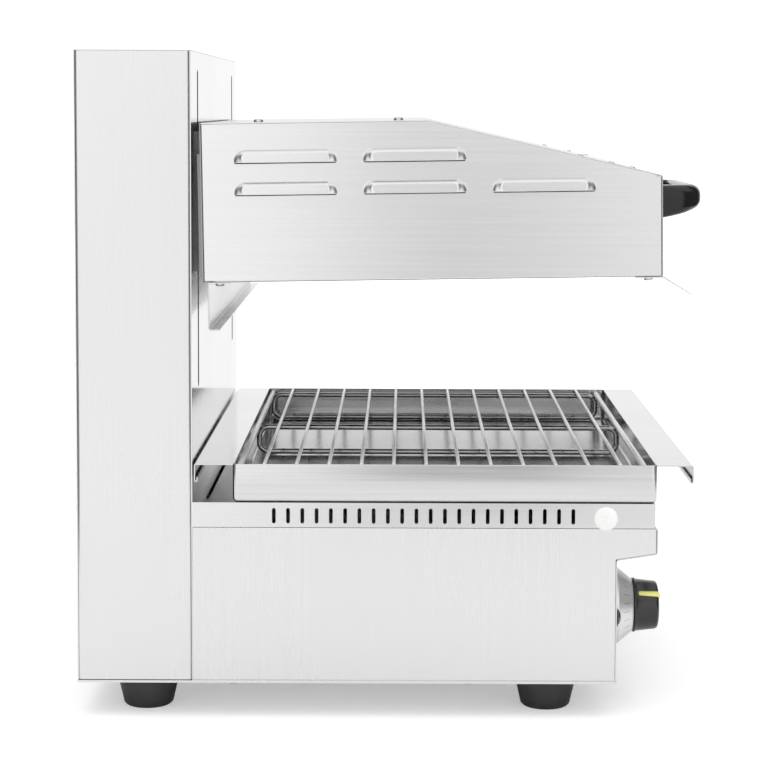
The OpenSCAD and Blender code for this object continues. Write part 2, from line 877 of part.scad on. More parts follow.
// Ring on the panel round the knob: straight rim, cone, and a floor held by the regulator's bushing
module scale_bezel() {
    color(BRIGHT) in_body() translate([knob_x, -panel_d, control_z]) rotate([90, 0, 0])
        rotate_extrude() polygon([
            [bushing_r + hole_play, 0],
            [bezel_dia / 2, 0],
            [bezel_dia / 2, bezel_rim],
            [bezel_tip_dia / 2, bezel_h],
            [bezel_tip_dia / 2 - bezel_wall, bezel_h],
            [bezel_dia / 2 - 1.2 * bezel_wall, bezel_rim],
            [bezel_dia / 2 - 1.2 * bezel_wall, bezel_wall],
            [bushing_r + hole_play, bezel_wall]
        ]);
}

// Nut that clamps the bezel and the regulator to the panel
module regulator_nut() {
    color(ZINC) in_body() difference() {
        translate([knob_x, -panel_d - bezel_wall, control_z]) rotate([90, 0, 0])
            cylinder(h = regulator_nut_h, r = regulator_nut_r, $fn = 6);
        bar_d(knob_x, [panel_d, panel_d + bezel_wall + 2 * regulator_nut_h], control_z, bushing_r + fit);
    }
}

module pilot_lamp_rim() {
    color(BLACK) in_body() {
        difference() {
            bar_d(lamp_x, [panel_d, panel_d + lamp_rim_t], control_z, lamp_dia / 2);
            bar_d(lamp_x, [panel_d + sheet / 2, panel_d + 2 * lamp_rim_t], control_z, lens_r + fit);
        }
        bar_d(lamp_x, [panel_d - lamp_body_len, panel_d], control_z, lamp_body_r);
    }
}

// Dome lens: a cap of a ball over the rim
module pilot_lens() {
    rise = lamp_reach - lamp_rim_t;
    ball_r = (lens_r * lens_r + rise * rise) / (2 * rise);
    color([0.1, 0.16, 0.1]) in_body() {
        bar_d(lamp_x, [panel_d + sheet / 2, panel_d + lamp_rim_t], control_z, lens_r);
        intersection() {
            translate([lamp_x, -(panel_d + lamp_reach - ball_r), control_z]) rotate([90, 0, 0]) sphere(ball_r);
            bar_d(lamp_x, [panel_d + lamp_rim_t, panel_d + lamp_reach + eps], control_z, lens_r);
        }
    }
}

terminal_left = 80;
terminal_w = 50;
terminal_back = 40;
terminal_depth = 24;
terminal_x = [terminal_left, terminal_left + terminal_w];
terminal_d = [terminal_back, terminal_back + terminal_depth];
terminal_h = 20;
pole_pitch = 14;
pole_r = 2.5;

module terminal_block() {
    color(WHITE) in_body() difference() {
        block(terminal_x, terminal_d, [floor_top, floor_top + terminal_h]);
        for (i = [-1:1]) bar_z((terminal_x[0] + terminal_x[1]) / 2 + i * pole_pitch,
                               (terminal_d[0] + terminal_d[1]) / 2,
                               [floor_top + terminal_h / 2, floor_top + terminal_h + eps], pole_r + hole_play);
    }
}

module terminal_screws() {
    color(ZINC) in_body() for (i = [-1:1])
        bar_z((terminal_x[0] + terminal_x[1]) / 2 + i * pole_pitch, (terminal_d[0] + terminal_d[1]) / 2,
              [floor_top + terminal_h / 2, floor_top + terminal_h - pole_r / 2], pole_r);
}

// Cord gland: hexagon and dome nut outside, thread through the cover
module cord_gland() {
    hex_t = 4;
    color(BLACK) in_body() difference() {
        union() {
            translate([gland_x, 0, gland_z]) rotate([-90, 0, 0]) cylinder(h = hex_t, r = gland_r, $fn = 6);
            bar_d(gland_x, [-gland_reach, -hex_t], gland_z, gland_thread_r);
            bar_d(gland_x, [0, sheet + gland_thread_len], gland_z, gland_thread_r);
        }
        bar_d(gland_x, [-gland_reach - eps, sheet + gland_thread_len + eps], gland_z, cord_dia / 2);
    }
}

module gland_locknut() {
    color(BLACK) in_body() difference() {
        translate([gland_x, -sheet - locknut_t, gland_z]) rotate([-90, 0, 0])
            cylinder(h = locknut_t, r = gland_r, $fn = 6);
        bar_d(gland_x, [0, sheet + locknut_t + eps], gland_z, gland_thread_r + fit);
    }
}

// ---------- Carriage, which moves with the hood ----------

module slider_blocks() {
    color(STEEL) in_body() for (x = [-slot_x, slot_x]) difference() {
        block([x - block_w / 2, x + block_w / 2], [guide_d - block_d / 2, guide_d + block_d / 2],
              [block_z, block_top]);
        bar_z(x, guide_d, [block_z - eps, block_top + eps], guide_dia / 2 + 1);
        for (z = [block_z, block_top])
            bar_z(x, guide_d, [z - bush_len, z + bush_len], bush_r + fit);
        for (dx = [-arm_screw_x, arm_screw_x], dz = [-arm_screw_z, arm_screw_z])
            bar_d(x + dx, [guide_d + block_d / 2 - screw_len, guide_d + block_d / 2 + eps],
                  block_mid + dz, screw_r + fit);
    }
}

module guide_bushes() {
    color(BRONZE) in_body() for (x = [-slot_x, slot_x], z = [block_z, block_top - bush_len]) difference() {
        bar_z(x, guide_d, [z, z + bush_len], bush_r);
        bar_z(x, guide_d, [z - eps, z + bush_len + eps], guide_dia / 2 + fit);
    }
}

// Channel that joins the two slider blocks
module carriage_beam() {
    beam_x = [-(slot_x - block_w / 2), slot_x - block_w / 2];
    web_d = guide_d + block_d / 2;
    color(ZINC) in_body() difference() {
        block(beam_x, [web_d - beam_d - plate, web_d], [beam_z, beam_z + beam_h]);
        block([beam_x[0] - eps, beam_x[1] + eps], [web_d - beam_d - 2 * plate, web_d - plate],
              [beam_z + plate, beam_z + beam_h - plate]);
        for (x = [-spring_x, spring_x])
            bar_z(x, guide_d, [beam_z - eps, beam_z + plate + eps], stud_r + hole_play);
    }
}

module gas_spring_rods() {
    color(BRIGHT) in_body() for (x = [-spring_x, spring_x]) {
        bar_z(x, guide_d, [piston_z, piston_z + piston_h], spring_dia / 2 - spring_wall - clear);
        bar_z(x, guide_d, [piston_z + piston_h, beam_z], piston_rod_dia / 2);
        bar_z(x, guide_d, [beam_z, beam_z + plate + stud_len], stud_r);
    }
}

module upper_spring_nuts() {
    color(ZINC) in_body() for (x = [-spring_x, spring_x]) nut_z(x, guide_d, beam_z + plate);
}

// Left lift arm: foot on the slider block, web through the slot, pad on the back of the hood
module lift_arm() {
    foot_d = guide_d + block_d / 2;
    union() {
        in_body() difference() {
            block([-slot_x - arm_foot_w / 2, -slot_x + arm_foot_w / 2], [foot_d, foot_d + arm_foot_t],
                  [block_z, block_top]);
            for (dx = [-arm_screw_x, arm_screw_x], dz = [-arm_screw_z, arm_screw_z])
                bar_d(-slot_x + dx, [foot_d - eps, foot_d + arm_foot_t + eps], block_mid + dz,
                      screw_r + hole_play);
        }
        difference() {
            in_body() block([-slot_x - arm_t / 2, -slot_x + arm_t / 2], [foot_d + arm_foot_t, hood_back_d],
                            [arm_z, arm_z + arm_h]);
            in_hood() block([-slot_x - arm_t, -slot_x + arm_t], [-plate, hood_gap], [-hood_h, 2 * hood_h]);
        }
        in_hood() difference() {
            block([-slot_x + arm_pad_x[0], -slot_x + arm_pad_x[1]], [-plate, 0], arm_pad_v);
            for (dx = arm_bolt_x, v = arm_bolt_v)
                bar_d(-slot_x + dx, [-plate - eps, eps], v, bolt_r + fit);
        }
    }
}

module lift_arms() {
    color(ZINC) both_sides() lift_arm();
}

module arm_screws() {
    head_d = guide_d + block_d / 2 + arm_foot_t;
    color(ZINC) in_body()
        for (x = [-slot_x, slot_x], dx = [-arm_screw_x, arm_screw_x], dz = [-arm_screw_z, arm_screw_z]) {
            bar_d(x + dx, [head_d, head_d + screw_head_h], block_mid + dz, screw_head_r);
            bar_d(x + dx, [head_d - arm_foot_t - screw_len + sheet, head_d], block_mid + dz, screw_r);
        }
}

module arm_bolts() {
    color(ZINC) in_hood() both_sides() for (dx = arm_bolt_x, v = arm_bolt_v) {
        bar_d(-slot_x + dx, [sheet, sheet + bolt_head_h], v, bolt_head_r);
        bar_d(-slot_x + dx, [-plate, sheet], v, bolt_r);
    }
}

// ---------- Hood ----------

// Outline of a louvre in depth and height: flat foot, round upper corners
module louvre_outline(inset) {
    difference() {
        translate([inset, 0]) square([louvre_len - 2 * inset, louvre_h - inset]);
        for (end = [0, 1]) translate([end * louvre_len, 0]) mirror([end, 0]) difference() {
            translate([-eps, louvre_h - louvre_r]) square([louvre_r + eps, louvre_r + eps]);
            translate([louvre_r, louvre_h - louvre_r]) circle(louvre_r - inset);
        }
    }
}

// Wedge that a louvre bulges to, from nothing at its top to full depth at its foot
module louvre_wedge(inset) {
    intersection() {
        across([-hood_half - louvre_out, -hood_half]) louvre_outline(inset);
        translate([-hood_half, eps, 0]) rotate([90, 0, 0]) linear_extrude(louvre_len + 2 * eps) polygon([
            [0, 0],
            [inset - louvre_out, 0],
            [inset / 2 - louvre_out / 4, louvre_h - inset],
            [0, louvre_h - inset]
        ]);
    }
}

// Places of the louvres: two in the upper row, three in the lower
louvre_places = [for (row = [0, 1], i = [0:2 - row])
    [louvre_start + i * louvre_pitch, louvre_low + row * louvre_row]];
louvre_wall = 0.8;

// The left hood side with its louvres and its folded edges
module hood_side() {
    top_v = hood_h - sheet;
    front_u = hood_d - sheet;
    difference() {
        union() {
            across([-hood_half, -hood_inner])
                polygon([[sheet, 0], [front_u, 0], [front_u, slope_foot_v], [hood_flat, top_v],
                         [sheet, top_v]]);
            block([-hood_inner, -hood_half + flange], [sheet, hood_flat], [top_v - sheet, top_v]);
            on_slope() block([-hood_inner, -hood_half + flange], [-slope_len + flange / 2, -flange / 2],
                             [-slope_t - sheet, -slope_t]);
            block([-hood_inner, -hood_half + hood_lip], [hood_lip + clear, hood_d - hood_lip - clear],
                  [0, sheet]);
            for (p = louvre_places) translate([0, -p[0], p[1]]) louvre_wedge(0);
        }
        for (p = louvre_places) translate([0, -p[0], p[1]]) {
            translate([0, 0, -eps / 100]) louvre_wedge(louvre_wall);
            block([-hood_half - eps / 10, -hood_inner + eps], [louvre_wall, louvre_len - louvre_wall],
                  [-eps / 100, louvre_h / 2]);
        }
        on_slope() for (at = rivet_at)
            bar_z(-hood_half + top_screw_inset, -at, [-3 * sheet, 0], rivet_shank_r + hole_play);
    }
}

module hood_left_side() {
    color(STEEL) in_hood() difference() {
        hood_side();
        top_screw_bars([hood_h - 3 * sheet, hood_h], screw_r + hole_play);
    }
}

// Round bars at the top screws, which only the left side has, so that it comes off over the wiring
module top_screw_bars(v, r) {
    for (u = top_screw_u) bar_z(-hood_half + top_screw_inset, u, v, r);
}

module hood_right_side() {
    color(STEEL) in_hood() mirror([1, 0, 0]) hood_side();
}

// Flat and sloping top in one sheet
module hood_top() {
    color(STEEL) in_hood() difference() {
        across([-hood_half, hood_half]) polygon([
            [sheet, hood_h - sheet],
            [hood_flat, hood_h - sheet],
            [hood_d - sheet, slope_foot_v],
            [hood_d - sheet, hood_front_h - sheet],
            [hood_d, hood_front_h - sheet],
            [hood_d, hood_front_h],
            [hood_flat, hood_h],
            [sheet, hood_h]
        ]);
        top_screw_bars([hood_h - 2 * sheet, hood_h + eps], screw_r + hole_play);
        both_sides() on_slope() for (at = rivet_at)
            bar_z(-hood_half + top_screw_inset, -at, [-2 * sheet, eps], rivet_shank_r + hole_play);
    }
}

// Frame of the slope: at its lower end, d counted up the slope from there
module on_slope() {
    translate([0, -hood_d, hood_front_h]) rotate([slope_angle, 0, 0]) children();
}

// Front face with the fold under it
module hood_front() {
    color(STEEL) in_hood() difference() {
        union() {
            block([-hood_half, hood_half], [hood_d - sheet, hood_d], [0, hood_front_h - sheet]);
            block([-hood_inner, hood_inner], [hood_d - hood_lip, hood_d - sheet], [0, sheet]);
        }
        for (x = [-1, 1]) {
            bar_z(x * (hood_half - under_screw_inset), deflector_screw_u, [-eps, sheet + eps],
                  screw_r + hole_play);
            bar_d(x * (handle_w - handle_leg) / 2, [hood_d - sheet - eps, hood_d + eps],
                  handle_low + handle_root / 2, screw_r + hole_play);
        }
    }
}

// Rear panel with the fold under it, bolted to the arms
module hood_rear() {
    color(STEEL) in_hood() difference() {
        union() {
            block([-hood_half, hood_half], [0, sheet], [0, hood_h]);
            block([-hood_inner, hood_inner], [sheet, hood_lip], [0, sheet]);
        }
        both_sides() for (dx = arm_bolt_x, v = arm_bolt_v)
            bar_d(-slot_x + dx, [-eps, sheet + eps], v, bolt_r + hole_play);
        for (x = [-1, 1])
            bar_z(x * (hood_half - under_screw_inset), shield_screw_u, [-eps, sheet + eps],
                  screw_r + hole_play);
    }
}

// Screws of the hood's top, of the sheets under it and of the handle
module hood_screws() {
    color(ZINC) in_hood() {
        top_screw_bars([hood_h, hood_h + screw_head_h], screw_head_r);
        top_screw_bars([hood_h - screw_len, hood_h], screw_r);
    }
    color(ZINC) in_hood() for (x = [-1, 1]) {
        for (u = [shield_screw_u, deflector_screw_u])
            screw_up(x * (hood_half - under_screw_inset), u, -sheet);
        bar_d(x * (handle_w - handle_leg) / 2, [hood_d - sheet - screw_head_h, hood_d - sheet],
              handle_low + handle_root / 2, screw_head_r);
        bar_d(x * (handle_w - handle_leg) / 2, [hood_d - sheet, hood_d + screw_len],
              handle_low + handle_root / 2, screw_r);
    }
}

module hood_rivets() {
    color(ZINC) in_hood() both_sides() on_slope() for (at = rivet_at) {
        bar_z(-hood_half + top_screw_inset, -at, [0, rivet_h], rivet_r);
        bar_z(-hood_half + top_screw_inset, -at, [-2 * sheet, 0], rivet_shank_r);
    }
}

// Bright tray over the elements, open below, its flange on the hood's folded edges
module reflector() {
    wall_u = [reflector_inset, hood_d - reflector_inset];
    color(BRIGHT) in_hood() difference() {
        union() {
            block([-reflector_half, reflector_half], wall_u, [sheet, reflector_h]);
            block([-hood_inner + clear, hood_inner - clear], [hood_lip + 2 * clear, hood_d - hood_lip - 2 * clear],
                  [sheet, 2 * sheet]);
        }
        block([-reflector_half + sheet, reflector_half - sheet], [wall_u[0] + sheet, wall_u[1] - sheet],
              [0, reflector_h - sheet]);
        for (i = [0:element_count - 1], side = [-1, 1])
            bar_x([-reflector_half - eps, -reflector_half + sheet + eps], element_u(i) + side * element_bend,
                  element_v, element_r + clear);
    }
}

// Middle of an element, from the hood's back
function element_u(i) = element_first_u + 2 * i * element_gap;

// Hairpin tubes lying from side to side, their tails through the reflector's left wall
module heating_elements() {
    bend_x = element_end_x - element_bend;
    color(GREY) in_hood() for (i = [0:element_count - 1]) {
        for (side = [-1, 1])
            bar_x([-reflector_half - element_tail, bend_x], element_u(i) + side * element_bend, element_v,
                  element_r);
        translate([bend_x, -element_u(i), element_v]) rotate([0, 0, -90])
            rotate_extrude(angle = 180) translate([element_bend, 0]) circle(element_r);
    }
}

// Ceramic beads and pins on the elements' tails
module element_terminals() {
    tail_x = -reflector_half - element_tail;
    color(WHITE) in_hood() for (i = [0:element_count - 1], side = [-1, 1])
        bar_x([tail_x - terminal_len, tail_x], element_u(i) + side * element_bend, element_v, terminal_r);
}

bracket_t = 1.5;
bracket_fold = 10;

// Strips that hang from the reflector and carry the elements
module element_brackets() {
    strip_u = [reflector_inset + sheet, hood_d - reflector_inset - sheet];
    strip_v = [element_v - element_dia, reflector_h - sheet];
    color(STEEL) in_hood() for (x = [-bracket_x, bracket_x]) difference() {
        union() {
            block([x, x + bracket_t], strip_u, strip_v);
            block([x, x + bracket_fold], strip_u, [strip_v[1] - bracket_t, strip_v[1]]);
        }
        for (i = [0:element_count - 1], side = [-1, 1])
            bar_x([x - eps, x + bracket_t + eps], element_u(i) + side * element_bend, element_v,
                  element_r + clear);
    }
}

// Thin sheet screwed under the hood's front, sloping down and forward
module front_deflector() {
    run = deflector_len * cos(deflector_angle);
    drop = deflector_len * sin(deflector_angle);
    color(STEEL) in_hood() difference() {
        across([-hood_half, hood_half]) polygon([
            [hood_d - hood_lip, 0],
            [hood_d - hood_lip, -sheet],
            [hood_d - sheet, -sheet],
            [hood_d + run - sheet, -sheet - drop],
            [hood_d + run, -drop],
            [hood_d, 0]
        ]);
        for (x = [-1, 1])
            bar_z(x * (hood_half - under_screw_inset), deflector_screw_u, [-2 * sheet, eps],
                  screw_r + hole_play);
    }
}

// Upright sheet under the hood's back, with a flange on top and a lip at its foot
module rear_heat_shield() {
    color(STEEL) in_hood() difference() {
        union() {
            block([-hood_half, hood_half], [shield_at, hood_lip], [-sheet, 0]);
            block([-hood_half, hood_half], [shield_at, shield_at + sheet], [-shield_h, 0]);
            block([-hood_half, hood_half], [shield_at, shield_at + shield_lip], [-shield_h, sheet - shield_h]);
        }
        for (x = [-1, 1])
            bar_z(x * (hood_half - under_screw_inset), shield_screw_u, [-2 * sheet, eps],
                  screw_r + hole_play);
    }
}

// Rectangle in width and depth whose two front corners are round
module round_front(half, depth, r) {
    translate([-half, -eps]) square([2 * half, depth - r + eps]);
    translate([-half + r, 0]) square([2 * (half - r), depth]);
    for (x = [r - half, half - r]) translate([x, depth - r]) circle(r);
}

tip_spread = 3;

// Bow handle: round in plan, its underside a shallow arc that rises to the round tip
module handle() {
    tip_r = handle_tip / 2;
    tip_mid = handle_root - tip_r;
    tip_low = tip_mid - tip_spread;
    outer_r = 24;
    inner_r = 12;
    belly_at = 5;
    belly_r = 115;
    color(BLACK) in_hood() translate([0, -hood_d, handle_low]) difference() {
        intersection() {
            upright([0, handle_root]) difference() {
                round_front(handle_w / 2, handle_reach, outer_r);
                round_front(handle_w / 2 - handle_leg, handle_reach - handle_grip, inner_r);
            }
            across([-handle_w, handle_w]) intersection() {
                translate([belly_at, belly_r]) circle(belly_r);
                union() {
                    square([handle_reach - tip_r, handle_root]);
                    translate([handle_reach - tip_r, tip_low]) square([tip_r, tip_mid - tip_low]);
                    for (v = [tip_low, tip_mid]) translate([handle_reach - tip_r, v]) circle(tip_r);
                }
            }
        }
        for (x = [-1, 1])
            bar_d(x * (handle_w - handle_leg) / 2, [-eps, 2 * screw_len], handle_root / 2, screw_r + fit);
    }
}

// ---------- Pan and grid ----------

// Down-turned lip with a closed hem, between two depths
module pan_lip(d, hem_d) {
    block([-half_w, half_w], d, [rim_z - lip_h, rim_z]);
    block([-half_w, half_w], hem_d, [rim_z - lip_h, rim_z - lip_h + hem_h]);
}

module drip_pan() {
    rear_d = column_d + pan_gap;
    front_d = tub_front_d + pan_wing;
    color(STEEL) in_body() {
        difference() {
            block([-half_w, half_w], [tub_d, tub_front_d], [pan_z, rim_z]);
            block([-inner_w, inner_w], [tub_d + sheet, tub_front_d - sheet], [pan_z + sheet, rim_z + eps]);
        }
        block([-half_w, half_w], [rear_d, tub_d], [rim_z - sheet, rim_z]);
        block([-half_w, half_w], [tub_front_d, front_d], [rim_z - sheet, rim_z]);
        pan_lip([rear_d, rear_d + sheet], [rear_d, rear_d + hem_t]);
        pan_lip([front_d - sheet, front_d], [front_d - hem_t, front_d]);
    }
}

// Thick side rods and thin wires, all from side to side
module grid_wires() {
    color(BRIGHT) in_body() {
        for (side = [-1, 1])
            bar_x([-grid_half, grid_half], grid_mid_d + side * grid_half_d, side_rod_z, rod_dia / 2);
        for (i = [0:wire_count - 1])
            bar_x([-grid_half, grid_half], grid_mid_d - grid_half_d + wire_end + i * wire_step, wire_z,
                  wire_dia / 2);
    }
}

// Closed loops with round corners that stand on the pan's floor and carry the wires
module grid_loops() {
    r = rod_dia / 2;
    straight = loop_half_d - loop_bend;
    color(BRIGHT) in_body()
        for (x = [-1, 0, 1]) translate([x * (grid_half - loop_side), 0, 0]) {
            for (z = [loop_z, loop_top_z]) bar_d(0, [grid_mid_d - straight, grid_mid_d + straight], z, r);
            for (side = [-1, 1]) {
                bar_z(0, grid_mid_d + side * loop_half_d, [loop_z + loop_bend, loop_top_z - loop_bend], r);
                translate([0, -grid_mid_d - side * straight, loop_z + loop_bend]) loop_corner(-side);
                translate([0, -grid_mid_d - side * straight, loop_top_z - loop_bend])
                    rotate([180, 0, 0]) loop_corner(side);
            }
        }
}

// Quarter bend from straight down to the back (side 1) or to the front (side -1)
module loop_corner(side) {
    rotate([0, 0, 90 - 90 * side]) rotate([0, 90, 0])
        rotate_extrude(angle = 90) translate([loop_bend, 0]) circle(rod_dia / 2);
}

// ---------- Knob, which turns on the control shaft ----------

knob_gap = 0.4;
skirt_t = 2.2;
pointer_start = 1.5;
shaft_tip = 8;
shaft_end_gap = 1;
knob_edge = 3;
pointer_proud = 0.9;
pointer_deep = 0.8;
hub_r = 8;
hub_z = 7;
skirt_z = bezel_h + knob_gap;
grip_z = skirt_z + skirt_t;

// Frame of the knob: z straight out of the panel, x towards the machine's right
module on_knob() {
    in_body() translate([knob_x, -panel_d, control_z]) rotate([90, 0, 0]) children();
}

// Raised bar down the knob's side and over its front
module pointer_bar() {
    start_z = grip_z + pointer_start;
    start_r = knob_dia / 2;
    tip_r = knob_tip_dia / 2;
    rotate([0, 0, pointer_angle]) translate([pointer_w / 2, 0, 0]) rotate([0, -90, 0])
        linear_extrude(pointer_w) polygon([
            [start_z, start_r - pointer_deep],
            [start_z, start_r + pointer_proud],
            [knob_reach + pointer_proud, tip_r + pointer_proud],
            [knob_reach + pointer_proud, hub_r],
            [knob_reach - pointer_deep, hub_r],
            [knob_reach - pointer_deep, tip_r - pointer_deep]
        ]);
}

module knob() {
    color(BLACK) on_knob() difference() {
        rotate_extrude() difference() {
            union() {
                translate([0, skirt_z]) square([skirt_dia / 2, skirt_t]);
                polygon([
                    [0, skirt_z],
                    [knob_dia / 2, grip_z],
                    [knob_tip_dia / 2, knob_reach - knob_edge],
                    [knob_tip_dia / 2 - knob_edge, knob_reach],
                    [0, knob_reach]
                ]);
                translate([knob_tip_dia / 2 - knob_edge, knob_reach - knob_edge]) circle(knob_edge);
                translate([0, hub_z]) square([hub_r, skirt_z]);
            }
            translate([-2 * knob_dia, 0]) square([2 * knob_dia, 2 * knob_reach]);
        }
        pointer_bar();
        translate([0, 0, -eps]) cylinder(h = knob_reach - shaft_tip + eps, r = shaft_dia / 2 + fit / 2);
    }
}

module knob_pointer() {
    color(YELLOW) on_knob() pointer_bar();
}

module control_shaft() {
    color(ZINC) on_knob() translate([0, 0, shaft_end_gap - regulator_d / 2])
        cylinder(h = regulator_d / 2 - shaft_end_gap + knob_reach - shaft_tip, r = shaft_dia / 2);
}

// ---------- Output ----------

bottom_plate();
rubber_feet();
foot_screws();
base_left_side();
base_right_side();
control_panel();
deck();
hole_plugs();
column_left_side();
column_right_side();
column_front();
column_rear_cover();
column_top();
casing_screws();
upper_crossbar();
lower_crossbar();
guide_rods();
rod_collars();
stop_buffers();
gas_spring_cylinders();
fixing_nuts();
energy_regulator();
regulator_nut();
scale_bezel();
pilot_lamp_rim();
pilot_lens();
terminal_block();
terminal_screws();
cord_gland();
gland_locknut();
slider_blocks();
guide_bushes();
carriage_beam();
gas_spring_rods();
upper_spring_nuts();
lift_arms();
arm_screws();
arm_bolts();
hood_left_side();
hood_right_side();
hood_top();
hood_front();
hood_rear();
hood_screws();
hood_rivets();
reflector();
heating_elements();
element_terminals();
element_brackets();
front_deflector();
rear_heat_shield();
handle();
drip_pan();
grid_wires();
grid_loops();
knob();
knob_pointer();
control_shaft();
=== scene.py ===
"""Counter-top cheese melter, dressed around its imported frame.

Sizes are in millimetres, as the maker would write them; meshes are in metres. Depth counts forward from the
column's back, height up from the table, and width to the machine's right.
"""
import json
import math

import bmesh
import bpy
import numpy as np
from mathutils import Matrix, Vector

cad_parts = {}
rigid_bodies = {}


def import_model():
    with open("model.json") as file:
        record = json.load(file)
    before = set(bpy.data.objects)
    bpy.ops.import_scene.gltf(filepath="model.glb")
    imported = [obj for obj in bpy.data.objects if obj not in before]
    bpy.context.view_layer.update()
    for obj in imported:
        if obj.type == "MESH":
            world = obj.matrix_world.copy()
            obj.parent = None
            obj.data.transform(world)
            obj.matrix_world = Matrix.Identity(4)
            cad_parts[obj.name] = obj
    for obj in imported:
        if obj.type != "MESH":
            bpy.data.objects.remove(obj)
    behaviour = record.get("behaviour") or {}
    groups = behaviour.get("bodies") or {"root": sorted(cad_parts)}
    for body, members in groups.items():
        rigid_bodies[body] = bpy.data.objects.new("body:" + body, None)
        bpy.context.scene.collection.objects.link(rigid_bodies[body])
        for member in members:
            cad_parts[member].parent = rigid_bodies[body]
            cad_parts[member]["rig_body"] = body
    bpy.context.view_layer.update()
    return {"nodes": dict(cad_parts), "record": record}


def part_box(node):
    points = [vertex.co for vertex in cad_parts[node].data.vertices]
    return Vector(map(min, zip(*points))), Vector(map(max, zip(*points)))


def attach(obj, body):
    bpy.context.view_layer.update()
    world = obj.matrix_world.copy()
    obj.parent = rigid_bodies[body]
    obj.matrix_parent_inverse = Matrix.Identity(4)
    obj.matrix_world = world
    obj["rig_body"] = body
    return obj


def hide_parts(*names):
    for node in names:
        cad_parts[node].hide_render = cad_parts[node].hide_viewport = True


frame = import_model()


# ---------------- camera
# A long lens looks at the machine's left side from the height of the hood's top, tipped down by
# 4.5 degrees. The small shift puts the machine in the middle of the picture.
EYE = (-1.8777, -0.0051, 0.4870)
PITCH = math.radians(4.47)
YAW = math.radians(-0.026)
ROLL = math.radians(0.226)
looking = np.array([math.cos(PITCH) * math.cos(YAW), math.cos(PITCH) * math.sin(YAW), -math.sin(PITCH)])
level = np.array([math.sin(YAW), -math.cos(YAW), 0.0])
right = math.cos(ROLL) * level + math.sin(ROLL) * np.cross(level, looking)
turned = Matrix(np.column_stack([right, np.cross(right, looking), -looking]).tolist())
lens = bpy.data.cameras.new("long_lens")
lens.lens = 98.342
lens.sensor_width = 36
lens.shift_x = -0.0227
lens.shift_y = -0.15
lens.clip_end = 50
camera = bpy.data.objects.new("camera", lens)
camera.matrix_world = Matrix.Translation(EYE) @ turned.to_4x4()
bpy.context.scene.collection.objects.link(camera)
bpy.context.scene.camera = camera


# ---------------- studio
# A white tent with a white ceiling. A dark card behind the machine draws the folded edges of bright
# sheet as thin dark lines, and a gap in the front wall leaves a soft shade on the flat sides. One
# broad soft sun lights the pale floor from above.
bpy.context.scene.view_settings.view_transform = "Standard"
WHITE = (1, 1, 1, 1)
CAMERA_WHITE = (1.2, 1.2, 1.2, 1)
TENT_LIGHT = 1.25
FLOOR_LIGHT = 0.98 * TENT_LIGHT
HORIZON = (-0.03, 0.0)
CARD_EDGES = [(0.0, 1.08), (0.09, 1.06), (0.13, 0.60), (0.18, 0.15), (0.50, 0.16), (0.80, 0.06),
              (0.825, 0.06), (0.89, 0.80), (1.0, 0.86)]
GAP_EDGES = [(0.0, 1.0), (0.40, 0.92), (0.45, 0.80), (0.478, 0.38), (0.495, 0.38), (0.525, 1.0), (1.0, 1.0)]
GAP_FRONT = (-0.9, -0.8)
GAP_TOP = (0.06, 0.13)
CEILING_HEIGHTS = (0.35, 0.60)
CEILING_END = (0.0, 0.35)
ZENITH_HEIGHTS = (0.66, 0.82)
ZENITH_SHARE = 0.85


def feed(tree, made, sockets):
    """Gives each socket of a node a value, or joins it to the output of another node."""
    for key, source in sockets.items():
        if isinstance(source, bpy.types.NodeSocket):
            tree.links.new(source, made.inputs[key])
        else:
            made.inputs[key].default_value = source


def added(tree, kind, sockets, **settings):
    """New shader node of a kind, with its settings and then its sockets."""
    made = tree.nodes.new("ShaderNode" + kind)
    for name, setting in settings.items():
        setattr(made, name, setting)
    feed(tree, made, sockets)
    return made


def ramp(tree, source, stops, interpolation="LINEAR"):
    """The source's place on a colour ramp; each of its stops is a place and a colour."""
    made = added(tree, "ValToRGB", {"Fac": source})
    made.color_ramp.interpolation = interpolation
    while len(made.color_ramp.elements) < len(stops):
        made.color_ramp.elements.new(0.5)
    for stop, (at, colour) in zip(made.color_ramp.elements, stops):
        stop.position = at
        stop.color = (*colour, 1)
    return made.outputs["Color"]


def greys(tree, source, stops):
    """Soft grey ramp over a source that runs from -1 to 1."""
    return ramp(tree, spread(tree, source, -1, 1, 0, 1), [(at, (grey,) * 3) for at, grey in stops], "EASE")


def spread(tree, source, low, high, to_low, to_high):
    """The source with low..high carried to to_low..to_high and cut off there."""
    return added(tree, "MapRange", {"Value": source, "From Min": low, "From Max": high, "To Min": to_low,
                                    "To Max": to_high}).outputs["Result"]


def worked(tree, operation, first, *second):
    """Result of an operation on one or two numbers."""
    return added(tree, "Math", dict(enumerate((first, *second))), operation=operation).outputs["Value"]


def mixed(tree, share, first, second, blend_type="MIX"):
    """Two colours mixed by the second one's share."""
    return added(tree, "Mix", {"Factor": share, "A": first, "B": second}, data_type="RGBA",
                 blend_type=blend_type).outputs["Result"]


def parted(tree, vector):
    """The three parts of a vector."""
    return added(tree, "SeparateXYZ", {0: vector}).outputs


